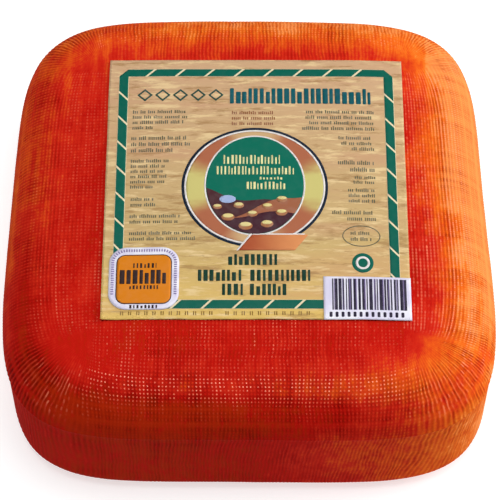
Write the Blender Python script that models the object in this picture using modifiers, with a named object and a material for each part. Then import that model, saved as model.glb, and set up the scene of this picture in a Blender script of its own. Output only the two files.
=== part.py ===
"""A square block of half-cured cheese in its paprika rind, with a paper label and two stickers on top.

Metres, +Z up. The cheese rests on its flat foot at z = 0 with its front towards -Y, and the middle
of its plan's bounding box is over the origin.
"""

import math

import bmesh
import bpy

# Block
MM = 0.001
HALF_WIDTH = 100 * MM
SEAM_HEIGHT = 49.4 * MM
SEAM_RAISE = 0.5 * MM
SEAM_HALF_HEIGHT = 2.0 * MM
SHOULDER_RADIUS = 20.8 * MM
SHOULDER_LOW_TILT = math.radians(76.5)
SHOULDER_TOP_TILT = math.radians(7.85)
FOOT_RADIUS = 9.8 * MM

# Plan of the block: a squared circle, bowed unevenly as (waves round the side, cosine, sine)
SQUARENESS = 5.1
BOWING = ((1, -0.008, -0.018), (2, -0.004, -0.003), (3, -0.003, -0.006))
CORNER_CROWDING = 0.1

# Papers on the top
PAPER_THICKNESS = 0.3 * MM
CLEARANCE = 0.3 * MM
LABEL_SIZE = (124.6 * MM, 126.5 * MM)
LABEL_MIDDLE = (2.8 * MM, 5.9 * MM)
SQUARE_STICKER_SIZE = (28.4 * MM, 28.4 * MM)
SQUARE_STICKER_INSET = (2.9 * MM, 4.35 * MM)
SQUARE_STICKER_CORNER = 7.3 * MM
STRIPED_STICKER_SIZE = (35.3 * MM, 19.3 * MM)
STRIPED_STICKER_OVERHANG = (0.25 * MM, 0.1 * MM)

# Fineness of the faceted solids
STEPS_ROUND = 80
CROWN_STEPS = 9
SHOULDER_STEPS = 8
SEAM_STEPS = 4
FOOT_STEPS = 4
PLAN_SAMPLES = 720
LABEL_CELLS = 16
STICKER_CELLS = 10

# Sizes that follow from the ones above
SHOULDER_TOP_RADIUS = HALF_WIDTH - SHOULDER_RADIUS * (
    math.sin(SHOULDER_LOW_TILT) - math.sin(SHOULDER_TOP_TILT)
)
SHOULDER_TOP_HEIGHT = (
    SEAM_HEIGHT + SEAM_HALF_HEIGHT
    + SHOULDER_RADIUS * (math.cos(SHOULDER_TOP_TILT) - math.cos(SHOULDER_LOW_TILT))
)
CROWN_RISE = SHOULDER_TOP_RADIUS * math.tan(SHOULDER_TOP_TILT) / 3

RIND_RED = (0.52, 0.055, 0.012, 1.0)
LABEL_TAN = (0.70, 0.47, 0.22, 1.0)
STICKER_WHITE = (0.80, 0.78, 0.80, 1.0)


def plan_reach(angle):
    """Distance from the plan's pole to the side at this angle, as a share of half the width."""
    squared = abs(math.cos(angle)) ** SQUARENESS + abs(math.sin(angle)) ** SQUARENESS
    bow = sum(
        cosine * math.cos(waves * angle) + sine * math.sin(waves * angle)
        for waves, cosine, sine in BOWING
    )
    return squared ** (-1 / SQUARENESS) * (1 + bow)


def plan_middle():
    """The middle of the plan's bounding box, measured from the plan's pole."""
    widest = HALF_WIDTH + SEAM_RAISE
    angles = [math.tau * step / PLAN_SAMPLES for step in range(PLAN_SAMPLES)]
    x = [widest * plan_reach(angle) * math.cos(angle) for angle in angles]
    y = [widest * plan_reach(angle) * math.sin(angle) for angle in angles]
    return (min(x) + max(x)) / 2, (min(y) + max(y)) / 2


def crown_height(share):
    """Height of the gently domed top at this share of the way from its pole to the shoulder."""
    return SHOULDER_TOP_HEIGHT + CROWN_RISE * (1 - share ** 3)


def seam_bulge(offset):
    """How far the seam round the side stands out, at this height above or below its middle."""
    return SEAM_RAISE * (1 + math.cos(math.pi * offset / SEAM_HALF_HEIGHT)) / 2


def block_profile():
    """(radius, height) from the pole of the top, over the shoulder and down the side to the foot's pole."""
    points = [
        (SHOULDER_TOP_RADIUS * step / CROWN_STEPS, crown_height(step / CROWN_STEPS))
        for step in range(CROWN_STEPS)
    ]
    for step in range(SHOULDER_STEPS):
        tilt = SHOULDER_TOP_TILT + (SHOULDER_LOW_TILT - SHOULDER_TOP_TILT) * step / SHOULDER_STEPS
        points.append((
            SHOULDER_TOP_RADIUS + SHOULDER_RADIUS * (math.sin(tilt) - math.sin(SHOULDER_TOP_TILT)),
            SHOULDER_TOP_HEIGHT - SHOULDER_RADIUS * (math.cos(SHOULDER_TOP_TILT) - math.cos(tilt)),
        ))
    for step in range(SEAM_STEPS + 1):
        offset = SEAM_HALF_HEIGHT * (1 - 2 * step / SEAM_STEPS)
        points.append((HALF_WIDTH + seam_bulge(offset), SEAM_HEIGHT + offset))
    for step in range(FOOT_STEPS + 1):
        turn = math.pi / 2 * step / FOOT_STEPS
        points.append((
            HALF_WIDTH - FOOT_RADIUS * (1 - math.cos(turn)),
            FOOT_RADIUS * (1 - math.sin(turn)),
        ))
    points.append((0.0, 0.0))
    return points


def top_height(x, y):
    """Height of the domed top over a point of the plan, inside the shoulder."""
    pole_x, pole_y = plan_middle()
    from_pole_x, from_pole_y = x + pole_x, y + pole_y
    reach = plan_reach(math.atan2(from_pole_y, from_pole_x)) * SHOULDER_TOP_RADIUS
    return crown_height(math.hypot(from_pole_x, from_pole_y) / reach)


def finish(name, colour, roughness):
    """A plain material of one colour."""
    material = bpy.data.materials.new(name)
    material.use_nodes = True
    shader = material.node_tree.nodes["Principled BSDF"]
    shader.inputs["Base Color"].default_value = colour
    shader.inputs["Roughness"].default_value = roughness
    shader.inputs["Metallic"].default_value = 0.0
    return material


def add_object(bm, name, material, collection):
    """Turn the built mesh into a smooth-shaded object in the collection."""
    mesh = bpy.data.meshes.new(name)
    bm.to_mesh(mesh)
    bm.free()
    mesh.materials.append(material)
    mesh.shade_smooth()
    mesh.set_sharp_from_angle(angle=math.radians(40))
    piece = bpy.data.objects.new(name, mesh)
    collection.objects.link(piece)
    return piece


def make_block(material, collection):
    """Turn the profile round the pole, then square each ring to the plan."""
    bm = bmesh.new()
    line = [bm.verts.new((radius, 0.0, height)) for radius, height in block_profile()]
    edges = [bm.edges.new(pair) for pair in zip(line, line[1:])]
    bmesh.ops.spin(
        bm, geom=line + edges, cent=(0, 0, 0), axis=(0, 0, 1),
        angle=math.tau, steps=STEPS_ROUND, use_merge=True,
    )
    bmesh.ops.remove_doubles(bm, verts=bm.verts, dist=0.01 * MM)
    middle_x, middle_y = plan_middle()
    for vert in bm.verts:
        turn = math.atan2(vert.co.y, vert.co.x)
        angle = turn + CORNER_CROWDING * math.sin(4 * turn)
        reach = math.hypot(vert.co.x, vert.co.y) * plan_reach(angle)
        vert.co.x = reach * math.cos(angle) - middle_x
        vert.co.y = reach * math.sin(angle) - middle_y
    bmesh.ops.recalc_face_normals(bm, faces=bm.faces)
    return add_object(bm, "cheese", material, collection)


def round_corner_share(x, y, half_x, half_y, corner):
    """How far a ray from the middle through (x, y) runs inside a rounded rectangle.

    (x, y) is on the edge of the sharp rectangle, and the share is 1 where the ray misses the corner's arc.
    """
    dx, dy = abs(x), abs(y)
    centre_x, centre_y = half_x - corner, half_y - corner
    if dx <= centre_x or dy <= centre_y:
        return 1.0
    along = dx * centre_x + dy * centre_y
    length = dx * dx + dy * dy
    gap = centre_x ** 2 + centre_y ** 2 - corner ** 2
    return (along + math.sqrt(along * along - length * gap)) / length


def make_paper(name, middle, size, corner, cells, lift, material, collection):
    """A sheet of paper draped over the domed top, its underside this far above the rind."""
    half_x, half_y = size[0] / 2, size[1] / 2
    bm = bmesh.new()
    bmesh.ops.create_grid(bm, x_segments=cells, y_segments=cells, size=1.0)
    for vert in bm.verts:
        ring = max(abs(vert.co.x), abs(vert.co.y))
        if ring > 0 and corner > 0:
            edge_x, edge_y = vert.co.x / ring * half_x, vert.co.y / ring * half_y
            ring *= round_corner_share(edge_x, edge_y, half_x, half_y, corner)
            x, y = edge_x * ring, edge_y * ring
        else:
            x, y = vert.co.x * half_x, vert.co.y * half_y
        vert.co = (middle[0] + x, middle[1] + y, top_height(middle[0] + x, middle[1] + y) + lift)
    bmesh.ops.triangulate(bm, faces=bm.faces)
    bmesh.ops.recalc_face_normals(bm, faces=bm.faces)
    if sum(face.normal.z for face in bm.faces) < 0:
        bmesh.ops.reverse_faces(bm, faces=bm.faces)
    sheet = add_object(bm, name, material, collection)
    solidify = sheet.modifiers.new("paper thickness", "SOLIDIFY")
    solidify.thickness = PAPER_THICKNESS
    solidify.offset = 1.0
    return sheet


def main():
    for old in list(bpy.data.objects):
        bpy.data.objects.remove(old, do_unlink=True)
    collection = bpy.data.collections.new("mahon cheese")
    bpy.context.scene.collection.children.link(collection)

    make_block(finish("rind", RIND_RED, 0.35), collection)

    on_rind = CLEARANCE
    on_label = on_rind + PAPER_THICKNESS + CLEARANCE
    label_left = LABEL_MIDDLE[0] - LABEL_SIZE[0] / 2
    label_right = LABEL_MIDDLE[0] + LABEL_SIZE[0] / 2
    label_front = LABEL_MIDDLE[1] - LABEL_SIZE[1] / 2
    make_paper(
        "label", LABEL_MIDDLE, LABEL_SIZE, 0.0, LABEL_CELLS, on_rind,
        finish("label_paper", LABEL_TAN, 0.6), collection,
    )
    sticker_paper = finish("sticker_paper", STICKER_WHITE, 0.45)
    make_paper(
        "square_sticker",
        (
            label_left + SQUARE_STICKER_INSET[0] + SQUARE_STICKER_SIZE[0] / 2,
            label_front + SQUARE_STICKER_INSET[1] + SQUARE_STICKER_SIZE[1] / 2,
        ),
        SQUARE_STICKER_SIZE, SQUARE_STICKER_CORNER, STICKER_CELLS, on_label, sticker_paper, collection,
    )
    make_paper(
        "striped_sticker",
        (
            label_right + STRIPED_STICKER_OVERHANG[0] - STRIPED_STICKER_SIZE[0] / 2,
            label_front - STRIPED_STICKER_OVERHANG[1] + STRIPED_STICKER_SIZE[1] / 2,
        ),
        STRIPED_STICKER_SIZE, 0.0, STICKER_CELLS, on_label, sticker_paper, collection,
    )


main()
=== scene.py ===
"""Looks of a square block of half-cured cheese: its cloth-marked paprika rind, its label and stickers.

Metres, +Z up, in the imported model's frame: the foot stands at z = 0 and the front faces -Y.
"""

from __future__ import annotations

import logging
import math
from collections.abc import Callable, Iterator, Sequence
from dataclasses import dataclass, field
from enum import Enum
from functools import cached_property

import bmesh
import bpy
import numpy as np
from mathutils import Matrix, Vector


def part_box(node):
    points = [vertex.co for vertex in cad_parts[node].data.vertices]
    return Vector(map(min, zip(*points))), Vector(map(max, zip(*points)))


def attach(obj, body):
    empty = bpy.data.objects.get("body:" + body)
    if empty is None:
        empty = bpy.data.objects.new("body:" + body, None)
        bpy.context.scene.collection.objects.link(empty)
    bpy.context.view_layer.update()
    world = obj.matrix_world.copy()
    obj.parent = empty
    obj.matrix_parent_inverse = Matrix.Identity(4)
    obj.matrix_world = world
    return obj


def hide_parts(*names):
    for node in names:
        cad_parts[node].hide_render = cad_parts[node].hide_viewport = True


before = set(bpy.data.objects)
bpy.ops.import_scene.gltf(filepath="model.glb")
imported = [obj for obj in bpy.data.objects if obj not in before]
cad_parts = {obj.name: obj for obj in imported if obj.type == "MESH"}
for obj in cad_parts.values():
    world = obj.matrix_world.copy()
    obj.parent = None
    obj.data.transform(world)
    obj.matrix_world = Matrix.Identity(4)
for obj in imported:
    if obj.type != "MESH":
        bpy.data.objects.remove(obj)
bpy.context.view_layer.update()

LOG = logging.getLogger("cheese")
MM = 0.001
QUARTER_TURN = math.pi / 2

Colour = tuple[float, float, float, float]
Point = tuple[float, float]
Polygon = list[Point]
Values = float | np.ndarray


def smooth_step(value: Values, low: float, high: float) -> Values:
    """Ease from 0 at low to 1 at high.

    Args:
        value: Where to read the curve.
        low: Where it leaves 0.
        high: Where it reaches 1.

    Returns:
        The eased shares.
    """
    share = np.clip((value - low) / (high - low), 0.0, 1.0)
    return share * share * (3 - 2 * share)


def blend(low: Values, high: Values, share: Values) -> Values:
    """Go from low to high by this share."""
    return low + (high - low) * share


def toward(angle: np.ndarray, degrees: float) -> np.ndarray:
    """How squarely directions at these angles face the one at this many degrees, from 0 to 1."""
    return np.clip(np.cos(angle - math.radians(degrees)), 0, 1)


@dataclass(frozen=True)
class Ripple:
    """Smooth seeded unevenness: a few sine waves in random directions."""

    seed: int
    wavelength: float
    waves: int = 9

    def at(self, *place: np.ndarray) -> np.ndarray:
        """Read the unevenness.

        Args:
            place: One array for each coordinate, in metres.

        Returns:
            Heights, mostly between -1 and 1.
        """
        draw = np.random.default_rng(self.seed)
        total = np.zeros(np.broadcast(*place).shape)
        for _ in range(self.waves):
            direction = draw.normal(size=len(place))
            length = self.wavelength * np.linalg.norm(direction)
            direction *= draw.uniform(0.7, 1.4) * math.tau / length
            phase = draw.uniform(0, math.tau)
            total += np.sin(sum(step * along for step, along in zip(direction, place)) + phase)
        return total / math.sqrt(2 * self.waves)


# Shader nodes


class Signal:
    """A shader socket that takes part in Python expressions."""

    MIX_FACTOR, MIX_A, MIX_B, MIX_OUT = 0, 6, 7, 2

    def __init__(self, bench: Bench, socket: bpy.types.NodeSocket) -> None:
        """Wrap one output socket of the bench's tree."""
        self.bench = bench
        self.socket = socket

    def _with(self, operation: str, first: object, second: object) -> Signal:
        """Join two values by the node that suits this socket's kind.

        Args:
            operation: ADD, SUBTRACT, MULTIPLY or DIVIDE.
            first: Left-hand number or signal.
            second: Right-hand number or signal.

        Returns:
            The joined signal.
        """
        if self.socket.type == "RGBA":
            settings = {"data_type": "RGBA", "blend_type": operation}
            inputs = {self.MIX_FACTOR: 1.0, self.MIX_A: first, self.MIX_B: second}
            return self.bench.node("ShaderNodeMix", settings, inputs, self.MIX_OUT)
        kind = "ShaderNodeVectorMath" if self.socket.type == "VECTOR" else "ShaderNodeMath"
        return self.bench.node(kind, {"operation": operation}, {0: first, 1: second})

    def _math(self, operation: str, *others: object) -> Signal:
        """Apply a Math node that takes this value first."""
        inputs = dict(enumerate((self, *others)))
        return self.bench.node("ShaderNodeMath", {"operation": operation}, inputs)

    def __add__(self, other: object) -> Signal:
        """Add a number or a signal."""
        return self._with("ADD", self, other)

    def __sub__(self, other: object) -> Signal:
        """Subtract a number or a signal."""
        return self._with("SUBTRACT", self, other)

    def __mul__(self, other: object) -> Signal:
        """Multiply by a number, a colour or a signal."""
        return self._with("MULTIPLY", self, other)

    def __truediv__(self, other: object) -> Signal:
        """Divide by a number or a signal."""
        return self._with("DIVIDE", self, other)

    def __rsub__(self, other: object) -> Signal:
        """Subtract this signal from a number."""
        return self._with("SUBTRACT", other, self)

    __radd__ = __add__
    __rmul__ = __mul__

    def __pow__(self, power: float) -> Signal:
        """Raise to a power."""
        return self._math("POWER", power)

    def sine(self) -> Signal:
        """Sine of an angle in radians."""
        return self._math("SINE")

    def eased(self, low: float, high: float) -> Signal:
        """Ease from 0 at low to 1 at high.

        Args:
            low: Where the result leaves 0.
            high: Where it reaches 1.

        Returns:
            The eased value.
        """
        settings = {"interpolation_type": "SMOOTHSTEP"}
        inputs = {"Value": self, "From Min": low, "From Max": high}
        return self.bench.node("ShaderNodeMapRange", settings, inputs)

    def parts(self) -> tuple[Signal, Signal, Signal]:
        """Split a vector into its x, y and z."""
        split = self.bench.node("ShaderNodeSeparateXYZ", {}, {0: self}).socket.node
        return tuple(Signal(self.bench, output) for output in split.outputs)


class Bench:
    """Builds the nodes of one material."""

    def __init__(self, name: str) -> None:
        """Start a material with one Principled shader."""
        self.material = bpy.data.materials.new(name)
        self.material.use_nodes = True
        self.tree = self.material.node_tree
        self.shader = self.tree.nodes["Principled BSDF"]

    def node(self, kind: str, settings: dict, inputs: dict, output: int | str = 0) -> Signal:
        """Add one node.

        Args:
            kind: The node's type.
            settings: Its own settings, set first. A ramp's are its stops, as (place, colour).
            inputs: Values or signals for its sockets, by name or number.
            output: Which output to return.

        Returns:
            The chosen output.
        """
        made = self.tree.nodes.new(kind)
        for name, value in settings.items():
            if name == "stops":
                self._set_stops(made.color_ramp, value)
            else:
                setattr(made, name, value)
        for name, value in inputs.items():
            self.feed(made.inputs[name], value)
        return Signal(self, made.outputs[output])

    @staticmethod
    def _set_stops(ramp: bpy.types.ColorRamp, stops: Sequence[tuple[float, Colour]]) -> None:
        """Give a ramp its stops.

        Args:
            ramp: The ramp.
            stops: Each stop's place from 0 to 1, and its colour.
        """
        while len(ramp.elements) < len(stops):
            ramp.elements.new(1.0)
        for element, (place, colour) in zip(ramp.elements, stops):
            element.position = place
            element.color = colour

    def feed(self, socket: bpy.types.NodeSocket, value: object) -> None:
        """Link a signal to a socket, or set the socket's own value.

        Args:
            socket: The input socket.
            value: A signal, number, colour or vector.
        """
        if isinstance(value, Signal):
            self.tree.links.new(value.socket, socket)
        else:
            socket.default_value = value

    def set(self, **values: object) -> None:
        """Set the shader's sockets, named with underscores for spaces."""
        for name, value in values.items():
            self.feed(self.shader.inputs[name.replace("_", " ")], value)

    def mix(self, factor: object, first: object, second: object) -> Signal:
        """Go from the first colour to the second by the factor."""
        inputs = {Signal.MIX_FACTOR: factor, Signal.MIX_A: first, Signal.MIX_B: second}
        return self.node("ShaderNodeMix", {"data_type": "RGBA"}, inputs, Signal.MIX_OUT)

    def place(self) -> Signal:
        """Where the surface is, in metres."""
        return self.node("ShaderNodeTexCoord", {}, {}, "Object")

    def attribute(self, name: str) -> Signal:
        """A value that the mesh keeps at its points."""
        return self.node("ShaderNodeAttribute", {"attribute_name": name}, {}, "Fac")

    def draw(self, cell: Signal) -> Signal:
        """A random value for each place in whole numbers."""
        return self.node("ShaderNodeTexWhiteNoise", {"noise_dimensions": "2D"}, {"Vector": cell})

    def ramp(self, value: Signal, stops: Sequence[tuple[float, Colour]]) -> Signal:
        """The colour that a ramp with these stops has at this value."""
        return self.node("ShaderNodeValToRGB", {"stops": stops}, {"Fac": value})

    def noise(self, place: Signal, wavelength: float, detail: float = 2.0, rough: float = 0.5) -> Signal:
        """Cloudy noise.

        Args:
            place: Where to read it.
            wavelength: Rough size of its patches, in the units of place.
            detail: How many finer layers it has.
            rough: How strong the finer layers are.

        Returns:
            A value about 0.5.
        """
        inputs = {"Vector": place, "Scale": 1 / wavelength, "Detail": detail, "Roughness": rough}
        return self.node("ShaderNodeTexNoise", {}, inputs)

    def bump(self, height: Signal) -> None:
        """Bend the shading by a height in metres."""
        inputs = {"Height": height, "Distance": 1.0, "Strength": 1.0}
        self.set(Normal=self.node("ShaderNodeBump", {}, inputs))


# Finishes


@dataclass(frozen=True)
class RindFinish:
    """Oiled paprika rind, deep red to orange, shiny on the dots that the cloth left, with painted glints on
    the dots and painted shade in the grooves.
    """

    # Darkest, browner stop, where the tint paints shade on the front's shoulder and side.
    painted_shade_brown: Colour = (0.42, 0.0200, 0.0026, 1.0)
    deep: Colour = (0.47, 0.0065, 0.0035, 1.0)
    red: Colour = (0.58, 0.021, 0.008, 1.0)
    ruddy: Colour = (0.73, 0.092, 0.009, 1.0)
    amber: Colour = (0.80, 0.160, 0.014, 1.0)
    orange: Colour = (0.89, 0.275, 0.066, 1.0)
    # Pale pink of the painted glint on the crests.
    oil_and_painted_glint: Colour = (1.00, 0.28, 0.15, 1.0)
    # Multiplies the colour in the grooves: painted shade.
    painted_groove_shade: Colour = (0.52, 0.26, 0.20, 1.0)
    roughness: float = 0.6
    specular: float = 0.01
    oil: float = 0.5
    oil_roughness: float = 0.33
    fine_threads: float = 1.5
    grain_height: float = 0.05 * MM
    # Groove depth at which the painted shade is full.
    darkest_depth: float = 0.3 * MM

    def pillow(self, bench: Bench, threads: Signal) -> Signal:
        """Read the cloth's print.

        Args:
            bench: Where the nodes go.
            threads: The surface's places, counted in threads.

        Returns:
            1 on the crests between threads, down to 0 in the grooves that they left.
        """
        along, across, _ = threads.parts()
        coarse, fine = ((along * (math.pi * pitch)).sine() ** 2 for pitch in (1.0, self.fine_threads))
        ridge_along = coarse + (fine - coarse) * bench.attribute("fine")
        ridge_across = (across * math.pi).sine() ** 2
        ribs = 1 - bench.attribute("ribs_along") * (1 - ridge_along)
        dots = 1 - bench.attribute("ribs_across") * (1 - ridge_across)
        return ribs * dots

    def crest(self, bench: Bench, place: Signal, threads: Signal, pillow: Signal) -> Signal:
        """Spread oil and a pale painted glint over the crests, unevenly from dot to dot, thread to thread
        and patch to patch.

        Args:
            bench: Where the nodes go.
            place: The surface's places in metres.
            threads: The same, counted in threads.
            pillow: The cloth's print.

        Returns:
            How much oil and painted glint there is, from 0 to 1.
        """
        cell = bench.node("ShaderNodeVectorMath", {"operation": "FLOOR"}, {0: threads})
        dot = bench.draw(cell)
        column = bench.draw(cell * (1.0, 0.0, 0.0))
        row = bench.draw(cell * (0.0, 1.0, 0.0))
        patch = bench.noise(place * (1.0, 0.22, 0.6), 4.5 * MM, 3.0)
        # Which dots, threads and patches glint: this spreads the painted highlight and the oil alike.
        glint = (dot * 0.75 + column * 0.30 + row * 0.35 + patch * 2.2 - 1.40).eased(0.0, 0.7)
        oil_and_painted_glint = bench.attribute("oil_and_painted_glint")
        streak = bench.noise(place * (1.0, 0.08, 0.4), 3.6 * MM, 2.0).eased(0.54, 0.68)
        shine = oil_and_painted_glint + streak * oil_and_painted_glint.eased(0.02, 0.12) * 0.40
        return pillow.eased(0.50, 0.96) * glint * shine

    def paprika(self, bench: Bench, place: Signal, pillow: Signal) -> Signal:
        """Colour the rind, mottled and faintly streaked from front to back.

        Args:
            bench: Where the nodes go.
            place: The surface's places in metres.
            pillow: The cloth's print.

        Returns:
            The colour under the oil.
        """
        mottle = bench.noise(place, 7 * MM, 4.0, 0.6) - 0.5
        speck = bench.noise(place, 1.6 * MM, 2.0) - 0.5
        drip = bench.noise(place * (1.0, 0.14, 0.5), 2.2 * MM, 3.0, 0.6) - 0.5
        uneven = mottle * 0.35 + speck * 0.25 + drip * 0.40
        stops = (
            (0.0, self.painted_shade_brown), (0.22, self.deep), (0.45, self.red), (0.70, self.ruddy),
            (0.86, self.amber), (1.0, self.orange),
        )
        return bench.ramp(bench.attribute("tint") + uneven + (pillow - 0.5) * 0.10, stops)

    def material(self) -> bpy.types.Material:
        """Build the rind's material.

        Returns:
            The material, which reads what the rind's mesh keeps at its points.
        """
        bench = Bench("oiled_rind")
        place = bench.place()
        threads = bench.node("ShaderNodeUVMap", {"uv_map": Rind.THREADS}, {})
        pillow = self.pillow(bench, threads)
        crest = self.crest(bench, place, threads, pillow)
        depth = bench.attribute("depth")
        smear = bench.noise(place, 5.5 * MM, 2.0).eased(0.30, 0.62)
        grain = bench.noise(place, 0.55 * MM, 3.0, 0.6)
        bench.bump(pillow * depth * (0.45 + 0.75 * smear) + grain * self.grain_height)
        # Painted highlight: the crests go pale pink where they glint.
        colour = bench.mix(crest * 0.85, self.paprika(bench, place, pillow), self.oil_and_painted_glint)
        # Painted shade in the grooves, darker the deeper they are.
        shade = (1 - pillow) * (depth / self.darkest_depth)
        bench.set(
            Base_Color=bench.mix(shade, colour, colour * self.painted_groove_shade),
            Roughness=self.roughness + (grain - 0.5) * 0.2,
            Specular_IOR_Level=self.specular,
            Coat_Weight=crest * self.oil,
            Coat_Roughness=self.oil_roughness,
        )
        return bench.material


@dataclass(frozen=True)
class LabelFinish:
    """Tan paper printed with a wood-like grain, pinker at the back and yellower at the front."""

    back: Colour = (0.53, 0.33, 0.185, 1.0)
    middle: Colour = (0.50, 0.348, 0.145, 1.0)
    front: Colour = (0.66, 0.44, 0.110, 1.0)
    streak: Colour = (0.28, 0.145, 0.045, 1.0)
    pink: Colour = (0.50, 0.25, 0.15, 1.0)
    pale: Colour = (0.72, 0.54, 0.28, 1.0)
    roughness: float = 0.5
    specular: float = 0.2
    depth: float = 125 * MM

    def material(self) -> bpy.types.Material:
        """Build the label paper's material.

        Returns:
            The material.
        """
        bench = Bench("grained_label_paper")
        place = bench.place()
        _, forth, _ = place.parts()
        grain = place * (1.0, 6.0, 1.0)
        streaks = bench.noise(grain, 20 * MM, 6.0, 0.72)
        light = bench.noise(grain + (0.3, 0.1, 0.2), 17 * MM, 5.0, 0.7)
        patches = bench.noise(grain, 75 * MM, 2.0)
        crumple = bench.noise(place * (1.0, 2.2, 1.0), 9 * MM, 4.0, 0.55)
        fibre = bench.noise(place, 0.7 * MM, 2.0)
        stops = ((0.0, self.front), (0.35, self.middle), (1.0, self.back))
        colour = bench.ramp(forth / self.depth + 0.5, stops)
        colour = bench.mix(patches.eased(0.50, 0.72) * 0.40, colour, self.pink)
        colour = bench.mix(light.eased(0.50, 0.64) * 0.75, colour, self.pale)
        bench.set(
            Base_Color=bench.mix(streaks.eased(0.52, 0.64) * 0.62, colour, self.streak),
            Roughness=self.roughness + (fibre - 0.5) * 0.2,
            Specular_IOR_Level=self.specular,
        )
        bench.bump(fibre * (0.03 * MM) + streaks * (0.30 * MM) + crumple * (0.50 * MM))
        return bench.material


@dataclass(frozen=True)
class StickerFinish:
    """Smooth coated sticker paper, faintly cloudy."""

    name: str
    colour: Colour = (0.60, 0.57, 0.72, 1.0)
    whiter: Colour = (0.74, 0.73, 0.80, 1.0)
    roughness: float = 0.35
    specular: float = 0.25

    def material(self) -> bpy.types.Material:
        """Build a sticker paper's material.

        Returns:
            The material.
        """
        bench = Bench(self.name)
        place = bench.place()
        cloud = bench.noise(place, 6 * MM, 2.0)
        fibre = bench.noise(place, 0.5 * MM, 2.0)
        bench.set(
            Base_Color=bench.mix(cloud.eased(0.35, 0.7), self.colour, self.whiter),
            Roughness=self.roughness + (fibre - 0.5) * 0.15,
            Specular_IOR_Level=self.specular,
        )
        bench.bump(fibre * (0.015 * MM))
        return bench.material


@dataclass(frozen=True)
class InkFinish:
    """Printed ink, a little paler in patches, where it is worn."""

    name: str
    colour: Colour
    worn: float = 0.08
    worn_grey: float = 0.6
    roughness: float = 0.5
    specular: float = 0.12

    def material(self) -> bpy.types.Material:
        """Build one ink's material.

        Returns:
            The material.
        """
        bench = Bench(self.name)
        place = bench.place()
        patchy = bench.noise(place, 2.5 * MM, 3.0)
        fibre = bench.noise(place, 0.5 * MM, 2.0)
        paler = tuple(blend(channel, self.worn_grey, self.worn) for channel in self.colour[:3])
        bench.set(
            Base_Color=bench.mix(patchy.eased(0.35, 0.75), self.colour, (*paler, 1.0)),
            Roughness=self.roughness + (fibre - 0.5) * 0.15,
            Specular_IOR_Level=self.specular,
        )
        return bench.material


@dataclass(frozen=True)
class BandFinish:
    """Ink of the badge's band: pale yellow at its sides, brown-pink on its diagonals, tan between."""

    name: str
    middle: Point
    tan: Colour = (0.52, 0.34, 0.17, 1.0)
    yellow: Colour = (0.53, 0.47, 0.16, 1.0)
    brown: Colour = (0.36, 0.115, 0.055, 1.0)
    roughness: float = 0.5
    specular: float = 0.15

    def material(self) -> bpy.types.Material:
        """Build the band's material.

        Returns:
            The material, coloured by the direction from the badge's middle.
        """
        bench = Bench(self.name)
        place = bench.place()
        x, y, _ = (place - (*self.middle, 0.0)).parts()
        wide, deep = x * x, y * y
        lean = (wide - deep) / (wide + deep)
        cloud = bench.noise(place * (1.0, 2.0, 1.0), 9 * MM, 3.0) - 0.5
        bend = lean + cloud * 0.4
        diagonal = 1 - bend * bend
        colour = bench.mix(lean.eased(0.1, 0.75), self.tan, self.yellow)
        bench.set(
            Base_Color=bench.mix(diagonal.eased(0.10, 0.85), colour, self.brown),
            Roughness=self.roughness,
            Specular_IOR_Level=self.specular,
        )
        return bench.material


@dataclass(frozen=True)
class BannerFinish:
    """Ink that goes from rust on its left to orange on its right."""

    left: float
    right: float
    name: str = "banner_rust"
    rust: Colour = (0.33, 0.060, 0.020, 1.0)
    orange: Colour = (0.62, 0.24, 0.085, 1.0)
    roughness: float = 0.5
    specular: float = 0.15

    def material(self) -> bpy.types.Material:
        """Build the banner's material.

        Returns:
            The material.
        """
        bench = Bench(self.name)
        place = bench.place()
        x, _, _ = place.parts()
        cloud = bench.noise(place, 4 * MM, 2.0) - 0.5
        bench.set(
            Base_Color=bench.mix(x.eased(self.left, self.right) + cloud * 0.2, self.rust, self.orange),
            Roughness=self.roughness,
            Specular_IOR_Level=self.specular,
        )
        return bench.material


@dataclass(frozen=True)
class FloorFinish:
    """Plain white studio table, lit a little from below."""

    colour: Colour = (0.50, 0.50, 0.50, 1.0)
    paler: Colour = (0.55, 0.55, 0.55, 1.0)
    glow_colour: Colour = (1.0, 1.0, 1.0, 1.0)
    glow: float = 0.66
    roughness: float = 0.8
    specular: float = 0.1

    def material(self) -> bpy.types.Material:
        """Build the floor's material.

        Returns:
            The material.
        """
        bench = Bench("studio_floor")
        cloud = bench.noise(bench.place(), 0.4, 1.0)
        bench.set(
            Base_Color=bench.mix(cloud * 0.05, self.colour, self.paler),
            Roughness=self.roughness,
            Specular_IOR_Level=self.specular,
            Emission_Color=self.glow_colour,
            Emission_Strength=self.glow,
        )
        return bench.material


# Forms


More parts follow.
